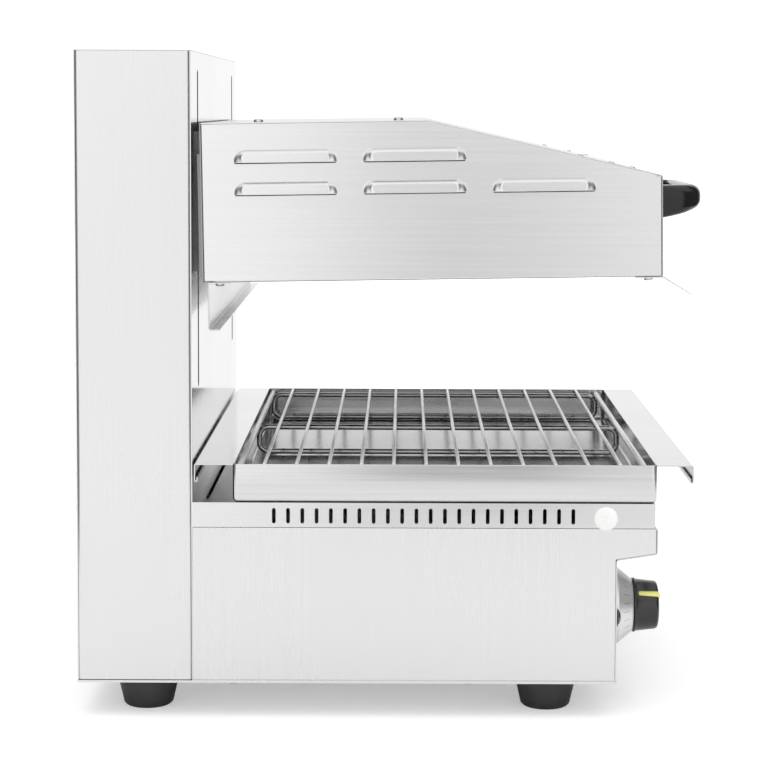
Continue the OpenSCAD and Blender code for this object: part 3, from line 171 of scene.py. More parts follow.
tent = bpy.data.worlds.new("white_tent")
tent.use_nodes = True
tree = tent.node_tree
tree.nodes.clear()
x, y, z = parted(tree, added(tree, "TexCoord", {}).outputs["Generated"])
beside_gap = worked(tree, "MAXIMUM", spread(tree, x, *GAP_FRONT, 0, 1), spread(tree, z, *GAP_TOP, 0, 1))
gap_light = mixed(tree, beside_gap, greys(tree, y, GAP_EDGES), WHITE)
walls = mixed(tree, 1.0, gap_light, greys(tree, x, CARD_EDGES), "MULTIPLY")
over_machine = worked(tree, "MULTIPLY", spread(tree, x, *CEILING_END, 1, 0),
                      spread(tree, z, *CEILING_HEIGHTS, 0, 1))
zenith = spread(tree, z, *ZENITH_HEIGHTS, 0, ZENITH_SHARE)
tent_light = mixed(tree, worked(tree, "MAXIMUM", over_machine, zenith), walls, WHITE)
camera_ray = added(tree, "LightPath", {}).outputs["Is Camera Ray"]
glow = added(tree, "Background", {"Color": mixed(tree, camera_ray, tent_light, CAMERA_WHITE),
                                  "Strength": spread(tree, z, *HORIZON, FLOOR_LIGHT, TENT_LIGHT)})
added(tree, "OutputWorld", {"Surface": glow.outputs["Background"]})
bpy.context.scene.world = tent

overhead_lamp = bpy.data.lights.new("overhead_lamp", "SUN")
overhead_lamp.angle = math.radians(60)
overhead_lamp.energy = 0.95
overhead = bpy.data.objects.new("overhead_lamp", overhead_lamp)
overhead.visible_glossy = False
bpy.context.scene.collection.objects.link(overhead)

FLOOR_HALF = 0.9
floor_mesh = bpy.data.meshes.new("studio_floor")
floor_corners = [(a * FLOOR_HALF, b * FLOOR_HALF, 0) for a, b in ((-1, -1), (1, -1), (1, 1), (-1, 1))]
floor_mesh.from_pydata(floor_corners, [], [(0, 1, 2, 3)])
floor = bpy.data.objects.new("studio_floor", floor_mesh)
bpy.context.scene.collection.objects.link(floor)


def shader_named(name, colour, **constants):
    """New material with one Principled shader: its colour and its constants go on the shader's own
    sockets."""
    made = bpy.data.materials.new(name)
    made.use_nodes = True
    made.diffuse_color = (*colour, 1)
    shader = made.node_tree.nodes["Principled BSDF"]
    feed(made.node_tree, shader, {"Base Color": (*colour, 1),
                                  **{key.replace("_", " "): amount for key, amount in constants.items()}})
    return made, made.node_tree, shader


PAINT_GLOW = 1.6
GLOW_SHARE = 0.25
paint, tree, shader = shader_named("floor_paint", (0.95, 0.95, 0.95), Roughness=0.9)
shine = added(tree, "Emission", {"Strength": PAINT_GLOW})
share = spread(tree, added(tree, "LightPath", {}).outputs["Is Camera Ray"], 0, 1, 0, GLOW_SHARE)
part_lit = added(tree, "MixShader", {"Fac": share, 1: shader.outputs["BSDF"], 2: shine.outputs["Emission"]})
feed(tree, tree.nodes["Material Output"], {"Surface": part_lit.outputs["Shader"]})
floor.data.materials.append(paint)


# ---------------- column casing
# A tall box of 1 mm stainless sheet with an upright grain. Two sides fold round into flanges at the
# back and the front, a bright front sheet with the lift slots and a screwed rear cover close it,
# and a lid covers the top.
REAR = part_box("column_rear_cover")[1].y * 1000
SHEET = 1.0
HALF_W = 225.0
COLUMN_D = 92.0
COLUMN_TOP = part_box("column_top")[1].z * 1000
FLOOR_TOP = 29.5
PLATE_SEAT = 0.5
FLANGE = 12.0
REAR_FLANGE = 26.0
REAR_FOLD = 2.8
FRONT_FOLD = 2.2
slot_of = {part["node"]: part["material_slot"] for part in frame["record"]["subparts"]}


def in_stand(x, d, z):
    """Width, depth from the column's back and height, in millimetres, to a point of the stand in
    metres."""
    x, d, z = np.broadcast_arrays(x, d, z)
    return np.stack([x, REAR - d, z], -1) / 1000


NOISE_SPAN = (0.3, 0.7)


def noise(tree, place, scale, detail=2.0, roughness=0.5):
    """Soft noise in space."""
    return added(tree, "TexNoise", {"Vector": place, "Scale": scale, "Detail": detail,
                                    "Roughness": roughness}).outputs["Fac"]


def shaded(tree, source, colour, change):
    """The colour, darker and lighter by a change as the source goes over the noise's span."""
    tones = [[min(1.0, part * amount) for part in colour] for amount in (1 - change, 1 + change)]
    return ramp(tree, source, [*zip(NOISE_SPAN, tones)])


def relief(tree, source, strength, depth):
    """Normal of a faint relief, its depth in metres."""
    return added(tree, "Bump", {"Height": source, "Strength": strength, "Distance": depth}).outputs["Normal"]


def grain(name, colour, stretch, rough, swing, tone=0.03, height=0.03, wipe=0.03, **constants):
    """Brushed or rolled metal: noise drawn out along the grain moves the roughness, the tone and a faint
    height, and a broad soft noise adds the patches that a wiping cloth leaves."""
    made, tree, shader = shader_named(name, colour, **{"Metallic": 1.0, **constants})
    place = added(tree, "TexCoord", {}).outputs["Object"]
    drawn = added(tree, "Mapping", {"Vector": place, "Scale": stretch}).outputs["Vector"]
    lines = noise(tree, drawn, 1.0, roughness=0.65)
    rough_lines = spread(tree, lines, *NOISE_SPAN, rough - swing, rough + swing)
    rough_cloud = spread(tree, noise(tree, place, 7.0), *NOISE_SPAN, -wipe, wipe)
    feed(tree, shader, {"Roughness": worked(tree, "ADD", rough_lines, rough_cloud),
                        "Base Color": shaded(tree, lines, colour, tone),
                        "Normal": relief(tree, lines, height, 0.0002)})
    return made


def skin(points, closed=False):
    """Quads over rows x columns of points; closed joins the last column to the first."""
    rows, columns = points.shape[:2]
    index = np.arange(rows * columns).reshape(rows, columns)
    if closed:
        index = np.concatenate([index, index[:, :1]], 1)
    quads = np.stack([index[:-1, :-1], index[:-1, 1:], index[1:, 1:], index[1:, :-1]], -1).reshape(-1, 4)
    return points.reshape(-1, 3), quads


def cap(points):
    """One flat face over a ring of points."""
    return points, np.arange(len(points)).reshape(1, -1)


def piece(name, patches, finish, body, *nodes, outward=True, **looks):
    """Mesh of several patches with doubles merged; it rides on the body and stands for the nodes."""
    starts = np.cumsum([0] + [len(points) for points, _ in patches])
    mesh = bpy.data.meshes.new(name)
    quads = [face for start, (_, faces) in zip(starts, patches) for face in (faces + start).tolist()]
    mesh.from_pydata(np.concatenate([points for points, _ in patches]).tolist(), [], quads)
    shape = bmesh.new()
    shape.from_mesh(mesh)
    bmesh.ops.remove_doubles(shape, verts=shape.verts, dist=2e-6)
    if outward:
        bmesh.ops.recalc_face_normals(shape, faces=shape.faces)
    shape.to_mesh(mesh)
    shape.free()
    return dress(name, mesh, finish, body, *nodes, **looks)


def dress(name, mesh, finish, body, *nodes, sharp=35, edge=0.0, wall=0.0):
    """Object for a mesh: smooth small faces with sharp folds, flat caps, its finish, its body and the
    nodes that it stands for. wall thickens an open surface inwards and edge rounds its sharp corners
    over, both in millimetres."""
    corners = np.empty(len(mesh.polygons), np.int32)
    mesh.polygons.foreach_get("loop_total", corners)
    mesh.polygons.foreach_set("use_smooth", corners < 5)
    mesh.set_sharp_from_angle(angle=math.radians(sharp))
    mesh.materials.clear()
    mesh.materials.append(finish)
    made = bpy.data.objects.new(name, mesh)
    bpy.context.scene.collection.objects.link(made)
    if wall:
        thicken = made.modifiers.new("wall", "SOLIDIFY")
        thicken.thickness = wall / 1000
        thicken.offset = -1
        thicken.use_quality_normals = True
    if edge:
        rounding = made.modifiers.new("eased_edges", "BEVEL")
        rounding.width = edge / 1000
        rounding.segments = 2
        rounding.limit_method = "ANGLE"
        rounding.angle_limit = math.radians(sharp)
        rounding.harden_normals = True
    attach(made, body)
    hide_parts(*nodes)
    return made


def eased(node, finish, half_width=None, **looks):
    """The node's own solid with its triangles merged into whole faces and its corners rounded over.
    half_width trims a cover back from the folds beside it, in millimetres from the middle."""
    mesh = frame["nodes"][node].data.copy()
    if "custom_normal" in mesh.attributes:
        mesh.attributes.remove(mesh.attributes["custom_normal"])
    shape = bmesh.new()
    shape.from_mesh(mesh)
    bmesh.ops.remove_doubles(shape, verts=shape.verts, dist=1e-5)
    bmesh.ops.dissolve_limit(shape, angle_limit=math.radians(0.5), verts=shape.verts, edges=shape.edges)
    shape.to_mesh(mesh)
    shape.free()
    if half_width:
        points = np.empty(len(mesh.vertices) * 3, np.float32)
        mesh.vertices.foreach_get("co", points)
        points[::3] = np.clip(points[::3], -half_width / 1000, half_width / 1000)
        mesh.vertices.foreach_set("co", points)
    return dress(node + "_finished", mesh, finish, frame["nodes"][node]["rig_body"], node, **looks)


GUARD = 0.04


def rounded(corners, radii, steps=5, closed=False):
    """Path through corners with each corner replaced by an arc, and the normals on the path's left. The
    arc's middle lies on the corner's bisector at r / sin(half the angle); its points turn evenly from
    one tangent point to the other. A guard point on each leg keeps the flats' shading flat."""
    corners = np.asarray(corners, float)
    bend = corners if closed else corners[1:-1]
    before = np.roll(corners, 1, 0) if closed else corners[:-2]
    after = np.roll(corners, -1, 0) if closed else corners[2:]
    radii = np.broadcast_to(np.asarray(radii, float), len(bend))[:, None]
    back = (before - bend) / np.linalg.norm(before - bend, axis=1, keepdims=True)
    ahead = (after - bend) / np.linalg.norm(after - bend, axis=1, keepdims=True)
    half = np.arccos(np.clip((back * ahead).sum(1), -1, 1))[:, None] / 2
    halving = back + ahead
    middle = bend + halving / np.linalg.norm(halving, axis=1, keepdims=True) * radii / np.sin(half)
    first = (bend + back * radii / np.tan(half) - middle) / radii
    last = (bend + ahead * radii / np.tan(half) - middle) / radii
    swing = np.pi - 2 * half[:, None, :]
    share = np.linspace(0, 1, steps + 1)[None, :, None]
    turned = np.sin((1 - share) * swing) * first[:, None] + np.sin(share * swing) * last[:, None]
    turned /= np.sin(swing)
    left = np.stack([back[:, 1], -back[:, 0]], 1)
    side = np.sign((left * first).sum(1))[:, None, None]
    arcs = middle[:, None] + radii[:, None] * turned
    arcs = np.concatenate([arcs[:, :1] + GUARD * back[:, None], arcs,
                           arcs[:, -1:] + GUARD * ahead[:, None]], 1)
    turned = np.concatenate([turned[:, :1], turned, turned[:, -1:]], 1)
    points = arcs.reshape(-1, 2)
    normals = (turned * side).reshape(-1, 2)
    if not closed:
        ends = (corners[1] - corners[0], corners[-1] - corners[-2])
        lefts = [np.array([-run[1], run[0]]) / np.hypot(*run) for run in ends]
        points = np.concatenate([corners[:1], points, corners[-1:]])
        normals = np.concatenate([lefts[:1], normals, lefts[1:]])
    return points, normals


def folded(corners, radii, hand, ends, place, ease=0.0):
    """Closed strip of sheet: the outer path, the same path moved inwards by the thickness, and both cut
    ends. hand is 1 where the metal lies on the path's right and -1 on its left. The outer face is
    rounded over towards an end by the ease e: it lies e(1 - sin t) lower at e(1 - cos t) from the end.
    place(first, second, end) puts the section's two numbers and the end's into space."""
    outer, normals = rounded(corners, radii)
    normals = hand * normals
    stations = [(ends[0], 0.0), (ends[1], 0.0)]
    if ease:
        turn = np.linspace(0, np.pi / 2, 5)
        near = np.stack([ease * (1 - np.cos(turn)), ease * (1 - np.sin(turn))], 1)
        near = np.concatenate([near, [[ease + GUARD, 0.0]]])
        stations = ([(ends[0] + away, drop) for away, drop in near]
                    + [(ends[1] - away, drop) for away, drop in near[::-1]])
    inner = (outer - SHEET * normals)[::-1]
    rings = np.stack([place(*np.concatenate([outer - drop * normals, inner]).T, end)
                      for end, drop in stations])
    count = len(outer)
    face_index = np.arange(count - 1)
    quads = np.stack([face_index, face_index + 1, 2 * count - 2 - face_index, 2 * count - 1 - face_index], -1)
    return [skin(rings, closed=True), (rings[0], quads), (rings[-1], quads)]


casing_steel = grain("casing_sheet_steel", (0.71, 0.71, 0.707), (450, 450, 4), 0.27, 0.006, tone=0.011,
                     height=0.002, wipe=0.012, Anisotropic=0.7)
bright_steel = grain("bright_sheet_steel", (0.69, 0.69, 0.69), (450, 450, 12), 0.11, 0.02, tone=0.015,
                     height=0.003)

for side, hand in ((-1, "left"), (1, "right")):
    rim = [(HALF_W - REAR_FLANGE, SHEET), (HALF_W, SHEET), (HALF_W, COLUMN_D - SHEET),
           (HALF_W - FLANGE, COLUMN_D - SHEET)]
    wall = folded(rim, [REAR_FOLD, FRONT_FOLD], -1, (FLOOR_TOP + PLATE_SEAT, COLUMN_TOP - SHEET),
                  lambda x, d, z: in_stand(side * x, d, z))
    piece(f"column_{hand}_wall", wall, casing_steel, "stand", f"column_{hand}_side", edge=0.4)
eased("column_front", bright_steel, edge=0.35, half_width=HALF_W - 1.2)
eased("column_rear_cover", casing_steel, edge=0.4, half_width=HALF_W - 1.8)
eased("column_top", grain("column_lid_steel", (0.71, 0.71, 0.707), (4, 450, 450), 0.25, 0.006, tone=0.016,
                          height=0.002), edge=0.45)


# ---------------- base casing
# A low box on a folded bottom plate. Its side plates run under the column's front face to the
# control panel, which is one sheet folded twice into a nose along its top. Spot-welded, with an
# upright grain.
BASE_TOP = 153.0
PANEL_D = 429.5
NOSE_D = 461.5
NOSE_LOW = 132.0
NOSE_ROOT = 127.0
PLATE_STOP = 1.3
PANEL_GAP = 0.8
FRONT_ROUND = 0.95
BACK_ROUND = 0.6
FRONT_PART = (420.0, 32.0)


def plate(outline, left, across, round_over, place):
    """Flat plate whose outer face has a round edge: rings that step inwards by r(1 - cos) while they
    rise by r sin, with a face on each side. The outline runs so that its inside is on its left; r may
    change along it."""
    turn = np.linspace(0, np.pi / 2, 6)[:, None]
    step = round_over * (1 - np.cos(turn))
    level = across[1] - np.sign(across[1] - across[0]) * round_over * (1 - np.sin(turn))
    loops = [place(outline[:, 0], outline[:, 1], across[0])]
    loops += [place(*(outline + left * inset[:, None]).T, x) for inset, x in zip(step, level)]
    loops.append(place(*(outline + left * (step[-1] + GUARD)[:, None]).T, across[1]))
    rings = np.stack(loops)
    return [skin(rings, closed=True), cap(rings[0]), cap(rings[-1])]


def slab(low, high, place):
    """Rectangular bar between two corners."""
    first = [low[0], high[0], high[0], low[0]]
    second = [low[1], low[1], high[1], high[1]]
    rings = np.stack([place(first, second, x) for x in (low[2], high[2])])
    return [skin(rings, closed=True), cap(rings[0]), cap(rings[1])]


PLATE_FRONT = PANEL_D - PLATE_STOP
NOSE_FRONT = NOSE_D - PLATE_STOP
plate_corners = [(COLUMN_D, FLOOR_TOP + PLATE_SEAT), (PLATE_FRONT, FLOOR_TOP + PLATE_SEAT),
                 (PLATE_FRONT, NOSE_ROOT + SHEET), (NOSE_FRONT, NOSE_LOW + SHEET), (NOSE_FRONT, BASE_TOP),
                 (COLUMN_D, BASE_TOP)]
for side, hand in ((-1, "left"), (1, "right")):
    place = lambda d, z, x: in_stand(side * x, d, z)
    plate_line, left = rounded(plate_corners, [1.1, 1.1, 0.5, 1.2, 1.2, 0.9], closed=True)
    in_front = (plate_line[:, 0] > FRONT_PART[0]) & (plate_line[:, 1] > FRONT_PART[1])
    round_over = np.where(in_front, FRONT_ROUND, BACK_ROUND)
    patches = plate(plate_line, left, (HALF_W - SHEET, HALF_W), round_over, place)
    for low, front in ((FLOOR_TOP, PANEL_D), (BASE_TOP - SHEET, NOSE_D)):
        patches += slab((COLUMN_D, low, HALF_W - FLANGE), (front - SHEET, low + SHEET, HALF_W - SHEET), place)
    piece(f"base_{hand}_plate", patches, casing_steel, "stand", f"base_{hand}_side")

nose = [(PANEL_D, FLOOR_TOP), (PANEL_D, NOSE_ROOT), (NOSE_D, NOSE_LOW), (NOSE_D, BASE_TOP),
        (NOSE_D - FLANGE, BASE_TOP)]
across_stand = lambda d, z, x: in_stand(x, d, z)
panel = folded(nose, [1.5, 2.2, 2.2], -1, (PANEL_GAP - HALF_W, HALF_W - PANEL_GAP), across_stand, ease=0.95)
piece("folded_control_panel", panel, casing_steel, "stand", "control_panel")
eased("bottom_plate", casing_steel, edge=0.6)


# ---------------- feet
# Four cones of black moulded rubber, wider at the plate than on the table. Each is held by a screw
# from inside its hollow and a nut on the plate.
def moulded(name, colour, rough, swing, size, height, **constants):
    """Moulded plastic or rubber: fine noise moves the roughness and the height, and a broad one the
    tone."""
    made, tree, shader = shader_named(name, colour, **constants)
    place = added(tree, "TexCoord", {}).outputs["Object"]
    fine = noise(tree, place, size, detail=5.0)
    feed(tree, shader, {"Roughness": spread(tree, fine, *NOISE_SPAN, rough - swing, rough + swing),
                        "Base Color": shaded(tree, noise(tree, place, 22.0), colour, 0.1),
                        "Normal": relief(tree, fine, height, 0.0003)})
    return made


foot_rubber = moulded("foot_rubber", (0.028, 0.028, 0.028), 0.55, 0.1, 900, 0.25)
eased("rubber_feet", foot_rubber, edge=0.6)


# ---------------- deck
# A folded tray over the base that carries the pan. Its side bands are slotted with 22 upright vents
# and closed with a white domed plug each, and a long slot at the back drains the spill behind the
# pan.
eased("deck", grain("deck_sheet_steel", (0.68, 0.68, 0.677), (450, 5, 450), 0.2, 0.012,
                    tone=0.016, height=0.003), edge=0.35)

PLUG_D = 419.8
PLUG_Z = 161.1
PLUG_R = 9.5
PLUG_RISE = 1.6
STEM_R = 6.9
STEM_LEN = 2.5
plug_nylon = moulded("plug_nylon", (0.93, 0.93, 0.92), 0.3, 0.05, 500, 0.08)


def lathe(profile, count, place):
    """Surface of revolution: radius and height of the profile turned round in count steps; a radius of 0
    closes it in a pole."""
    angle = np.arange(count) * 2 * np.pi / count
    radius, height = np.asarray(profile, float).T
    return skin(place(radius[:, None] * np.cos(angle), radius[:, None] * np.sin(angle),
                      height[:, None] + 0 * angle), closed=True)


def dome(radius, rise, edge, steps=7):
    """Profile of a low dome from its foot to its pole: an upright edge and then an ellipse's quarter."""
    turn = np.linspace(0, np.pi / 2, steps)
    return np.stack([np.r_[radius, radius * np.cos(turn)], np.r_[0, edge + (rise - edge) * np.sin(turn)]], 1)


plugs = []
for side in (-1, 1):
    place = lambda a, b, h: in_stand(side * (HALF_W + h), PLUG_D + a, PLUG_Z + b)
    plugs.append(lathe(dome(PLUG_R, PLUG_RISE, 0.5), 40, place))
    plugs.append(lathe([(0, -STEM_LEN), (STEM_R, -STEM_LEN), (STEM_R, 0), (PLUG_R, 0)], 40, place))
piece("domed_plugs", plugs, plug_nylon, "stand", "hole_plugs", sharp=50)


# ---------------- drip pan
# A drawn tub of bright 1 mm sheet that slides out to the front. Wings at its back and its front lie
# over the deck and end in down-turned lips with a closed hem, which serve as grips.
PAN_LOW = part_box("drip_pan")[0].z * 1000
PAN_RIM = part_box("drip_pan")[1].z * 1000
TUB_D = 123.9
TUB_FRONT_D = 460.3
WING_BACK_D = 93.4
WING_FRONT_D = 489.0
PAN_CORNER = 4.0
PAN_FOOT = 3.2
RIM_ROUND = 0.3
WING_OVERLAP = 0.5
LIP_FOOT = PAN_RIM - 14.5
HEM_TOP = LIP_FOOT + 4.0
HEM_T = 3.0
pan_steel = grain("drip_pan_sheet_steel", (0.64, 0.64, 0.638), (330, 5, 330), 0.14, 0.015, tone=0.05,
                  height=0.012)


def tub_ring(inset, z):
    """Rounded rectangle of the tub, moved inwards by the inset; the corner keeps its middle."""
    corner = max(PAN_CORNER - inset, 0.3)
    x, low, high = HALF_W - inset, TUB_D + inset, TUB_FRONT_D - inset
    path, _ = rounded([(-x, low), (x, low), (x, high), (-x, high)], corner, 6, closed=True)
    return in_stand(path[:, 0], path[:, 1], z)


def quarter(inset, z, radius, steps=5):
    """Insets and heights of a fillet from the upright wall to the floor."""
    turn = np.linspace(0, np.pi / 2, steps)
    return [(inset + radius * (1 - np.cos(t)), z + radius * (1 - np.sin(t))) for t in turn]


tub_profile = ([(0, PAN_RIM - RIM_ROUND), *quarter(0, PAN_LOW, PAN_FOOT)],
               [(SHEET, PAN_RIM - RIM_ROUND), *quarter(SHEET, PAN_LOW + SHEET, PAN_FOOT - SHEET)])
outside, inside = ([tub_ring(*step) for step in line] for line in tub_profile)
rim_top = [tub_ring(RIM_ROUND, PAN_RIM), tub_ring(SHEET - RIM_ROUND, PAN_RIM)]
tub = [skin(np.stack(outside[::-1] + rim_top + inside), closed=True), cap(outside[-1]), cap(inside[-1])]
wings = []
for root, tip, hand in ((TUB_FRONT_D - WING_OVERLAP, WING_FRONT_D, 1),
                        (TUB_D + WING_OVERLAP, WING_BACK_D, -1)):
    hem = tip - hand * HEM_T
    lip = [(root, PAN_RIM), (tip, PAN_RIM), (tip, LIP_FOOT), (hem, LIP_FOOT), (hem, HEM_TOP)]
    wings += folded(lip, [1.6, 1.45, 1.45], hand, (-HALF_W, HALF_W), across_stand)
piece("drip_pan_tub", tub + wings, pan_steel, "pan", "drip_pan", edge=0.25)


# ---------------- grid
# Three closed loops of 5 mm wire stand on the pan's floor. Two thick side rods and twelve thin
# wires are welded across them, and the whole is nickel-plated.
# The loops' nickel is painted dark. Its low base colour stands for the dark surroundings that the plated
# loops reflect.
nickel = grain("nickel_plating_painted_dark_reflection", (0.33, 0.33, 0.325), (120, 120, 120), 0.09, 0.02, tone=0.03, height=0.05)
# The wires' nickel is painted near white, with little metal in it. This is a painted highlight so the wires
# shine white all round.
wire_nickel_painted_white = grain("nickel_on_drawn_wire_painted_highlight", (0.97, 0.97, 0.96), (12, 700, 700), 0.26, 0.03, tone=0.02,
                     Metallic=0.3)
GRID_MID_D = 290.1
GRID_HALF = 220.0
SIDE_ROD_OUT = 161.5
SIDE_ROD_Z = 199.53
THIN_Z = 202.8
THIN_FIRST = 20.15
THIN_COUNT = 12
SIDE_ROD_R = 2.5
THIN_R = 1.5
LOOP_OUT = 160.0
LOOP_LOW = 177.2
LOOP_HIGH = 199.1
LOOP_BEND = 8.0
LOOP_X = (-212.0, 0.0, 212.0)


def wire(path, radius, count=12, closed=False):
    """Round wire along points: rings square to the path, turned by two directions that stay square to
    it. An open wire ends in a small chamfer and a flat cap."""
    run = np.roll(path, -1, 0) - np.roll(path, 1, 0) if closed else np.gradient(path, axis=0)
    run /= np.linalg.norm(run, axis=1, keepdims=True)
    flat = np.cross(path[1] - path[0], path[len(path) // 3] - path[0])
    level = flat / np.linalg.norm(flat) if np.linalg.norm(flat) > 1e-9 else np.array([0.0, 0.0, 1.0])
    out = np.cross(run, level)
    turn = np.arange(count) * 2 * np.pi / count
    ring = np.cos(turn)[None, :, None] * level + np.sin(turn)[None, :, None] * out[:, None]
    if closed:
        rings = path[:, None] + radius * ring
        return [skin(np.concatenate([rings, rings[:1]]), closed=True)]
    tip = radius * 0.3
    path = np.concatenate([path[:1], path[:1] + tip * run[:1], path[1:-1], path[-1:] - tip * run[-1:],
                           path[-1:]])
    ring = np.concatenate([ring[:1], ring, ring[-1:]])
    size = np.r_[0.7, np.ones(len(path) - 2), 0.7][:, None, None] * radius
    rings = path[:, None] + size * ring
    return [skin(rings, closed=True), cap(rings[0]), cap(rings[-1])]


def cross_bar(d, z, radius, count=12):
    """Straight bar across the whole grid."""
    return wire(in_stand(np.linspace(-GRID_HALF, GRID_HALF, 3), d, z), radius / 1000, count)


bars = []
for d in (GRID_MID_D - SIDE_ROD_OUT, GRID_MID_D + SIDE_ROD_OUT):
    bars += cross_bar(d, SIDE_ROD_Z, SIDE_ROD_R, 16)
first = SIDE_ROD_OUT - THIN_FIRST
for d in GRID_MID_D + np.linspace(-first, first, THIN_COUNT):
    bars += cross_bar(d, THIN_Z, THIN_R)
# The side rods and thin wires take the nickel finish with the painted highlight.
piece("welded_cross_wires", bars, wire_nickel_painted_white, "grid", "grid_wires", sharp=50)

loops = []
loop_line, _ = rounded([(GRID_MID_D - LOOP_OUT, LOOP_LOW), (GRID_MID_D + LOOP_OUT, LOOP_LOW),
                        (GRID_MID_D + LOOP_OUT, LOOP_HIGH), (GRID_MID_D - LOOP_OUT, LOOP_HIGH)],
                       LOOP_BEND, 8, closed=True)
for x in LOOP_X:
    loops += wire(in_stand(x, loop_line[:, 0], loop_line[:, 1]), SIDE_ROD_R / 1000, 16, closed=True)
# The loops wear the nickel finish that carries the painted dark reflection.
piece("standing_loops", loops, nickel, "grid", "grid_loops", sharp=50)


# ---------------- hood
# The lifting hood: two side plates with pressed louvres, one sheet over the flat and sloping top, a
# front and a rear panel, all 1 mm stainless with a lengthwise grain, held by screws and small
# rivets on folded edges.
HOOD_D0 = 100.4
HOOD_Z0 = 347.2
RAKE = math.radians(1)
HOOD_HALF = 222.0
HOOD_LEN = 363.0
HOOD_H = 125.5
HOOD_FRONT_H = 80.0
HOOD_FLAT = 180.0
LIP = 22.0
TOP_CORNER = 2.2
WALL_START = SHEET
WALL_STOP = HOOD_LEN - SHEET
SLOPE = math.atan((HOOD_H - HOOD_FRONT_H) / (HOOD_LEN - HOOD_FLAT))
LOUVRE_LEN = 80.6
LOUVRE_H = 10.0
LOUVRE_OUT = 3.0
LOUVRE_PITCH = 101.4
LOUVRE_START = 26.6
LOUVRE_LOW = 68.6
LOUVRE_ROW = 25.2
LOUVRE_ROUND = 9.4
LOUVRE_END = 7.5
LOUVRE_CREST = 2.3
SLIT = 0.8
louvre_starts = [LOUVRE_START + i * LOUVRE_PITCH for i in range(3)]
louvre_feet = [LOUVRE_LOW, LOUVRE_LOW + LOUVRE_ROW]
louvre_places = [(start, foot) for row, foot in enumerate(louvre_feet) for start in louvre_starts[:3 - row]]

hood_steel = grain("hood_sheet_steel", (0.69, 0.69, 0.687), (420, 5, 420), 0.25, 0.006, tone=0.016,
                   height=0.002, wipe=0.012, Anisotropic=0.75, Anisotropic_Rotation=0.25)


def in_hood(x, u, v):
    """Width, depth from the hood's back and height from its foot, both along the raked hood, to
    metres."""
    x, u, v = np.broadcast_arrays(x, u, v)
    return np.stack([x, REAR - HOOD_D0 - u * math.cos(RAKE) + v * math.sin(RAKE),
                     HOOD_Z0 + u * math.sin(RAKE) + v * math.cos(RAKE)], -1) / 1000


def wall_top(u):
    """Height of the side wall: flat, then down the slope, round at the front corner."""
    line = HOOD_H - SHEET - np.maximum(u - HOOD_FLAT, 0) * math.tan(SLOPE)
    near = np.maximum(u - (WALL_STOP - TOP_CORNER), 0)
    return line - (TOP_CORNER - np.sqrt(np.maximum(TOP_CORNER ** 2 - near ** 2, 0)))


def press(u, v):
    """Height of the pressed louvres, cut off along their foot: it rises as 0.3(1 - (1 - s)^8) + 0.7 s
    from the outline, where s is the share of the way to the crest, over a short step below the top and a
    long one at the ends. The outline's two upper corners are round, so there s is counted towards the
    corner's middle."""
    rise = np.zeros(np.broadcast(u, v).shape)
    for start, foot in louvre_places:
        end = np.minimum(u - start, start + LOUVRE_LEN - u)
        top = foot + LOUVRE_H - v
        spoke = np.hypot(np.maximum(LOUVRE_ROUND - end, 0), np.maximum(LOUVRE_ROUND - top, 0))
        corner = (end < LOUVRE_ROUND) & (top < LOUVRE_ROUND)
        steep = np.maximum(LOUVRE_ROUND - top, 0) / np.maximum(spoke, 1e-6)
        reach = LOUVRE_END + (LOUVRE_CREST - LOUVRE_END) * steep ** 2
        beside = np.minimum(end / LOUVRE_END, top / LOUVRE_CREST)
        share = np.clip(np.where(corner, (LOUVRE_ROUND - spoke) / reach, beside), 0, 1)
        bulge = LOUVRE_OUT * (0.3 * (1 - (1 - share) ** 8) + 0.7 * share)
        rise = np.maximum(rise, bulge * (v >= foot - 1e-6))
    return rise


def across_louvre(start):
    """Places over one louvre: close together at its ends, wider in the middle."""
    ends = np.linspace(0, 9, 13)
    stop = start + LOUVRE_LEN
    return np.r_[start - 0.9, start - 0.1, start + ends, np.linspace(start + 14, stop - 14, 9),
                 stop - ends[::-1], stop + 0.1, stop + 0.9]


WALL_EDGE = 1.3
FOLD_TOP = 0.6
FOLD_FOOT = 2.0
BEND_U = 212.0
STRAIGHT_V = 105.0
LEVEL_V = 79.2
CUT_ROW = 3
CUT_END = 0.6
HAIR = 0.05
TOP_MITRE = (6.0, 356.0)
FOOT_MITRE = (22.3, 340.7)
round_end = WALL_EDGE * (1 - np.sin(np.linspace(0, np.pi / 2, 7)))
columns = np.unique(np.round(np.concatenate(
    [*map(across_louvre, louvre_starts), WALL_START + round_end, WALL_STOP - round_end,
     [WALL_START + WALL_EDGE + HAIR, 12, 21.7, 23, 172, HOOD_FLAT, 188, BEND_U, 335, FOOT_MITRE[1], 348,
      TOP_MITRE[1], 359, WALL_STOP - WALL_EDGE - HAIR]]), 3))
rows = [np.r_[0, FOLD_FOOT + HAIR, 20, 40, 60, 65]]
cut_band = {}
for foot in louvre_feet:
    cut_band[foot] = sum(map(len, rows)) + CUT_ROW
    rows.append(np.r_[foot - 2, foot - SLIT - HAIR, foot - SLIT, foot - 1e-3, foot,
                      foot + np.r_[0.8:LOUVRE_H - 3:8j],
                      foot + LOUVRE_H - np.r_[2.4, 1.9, 1.4, 0.9, 0.4, 0, -0.1, -0.9]])
top_row = HOOD_H - SHEET - FOLD_TOP
rows = np.concatenate([*rows, [HOOD_H - 12, HOOD_H - 6, top_row - HAIR, top_row]])


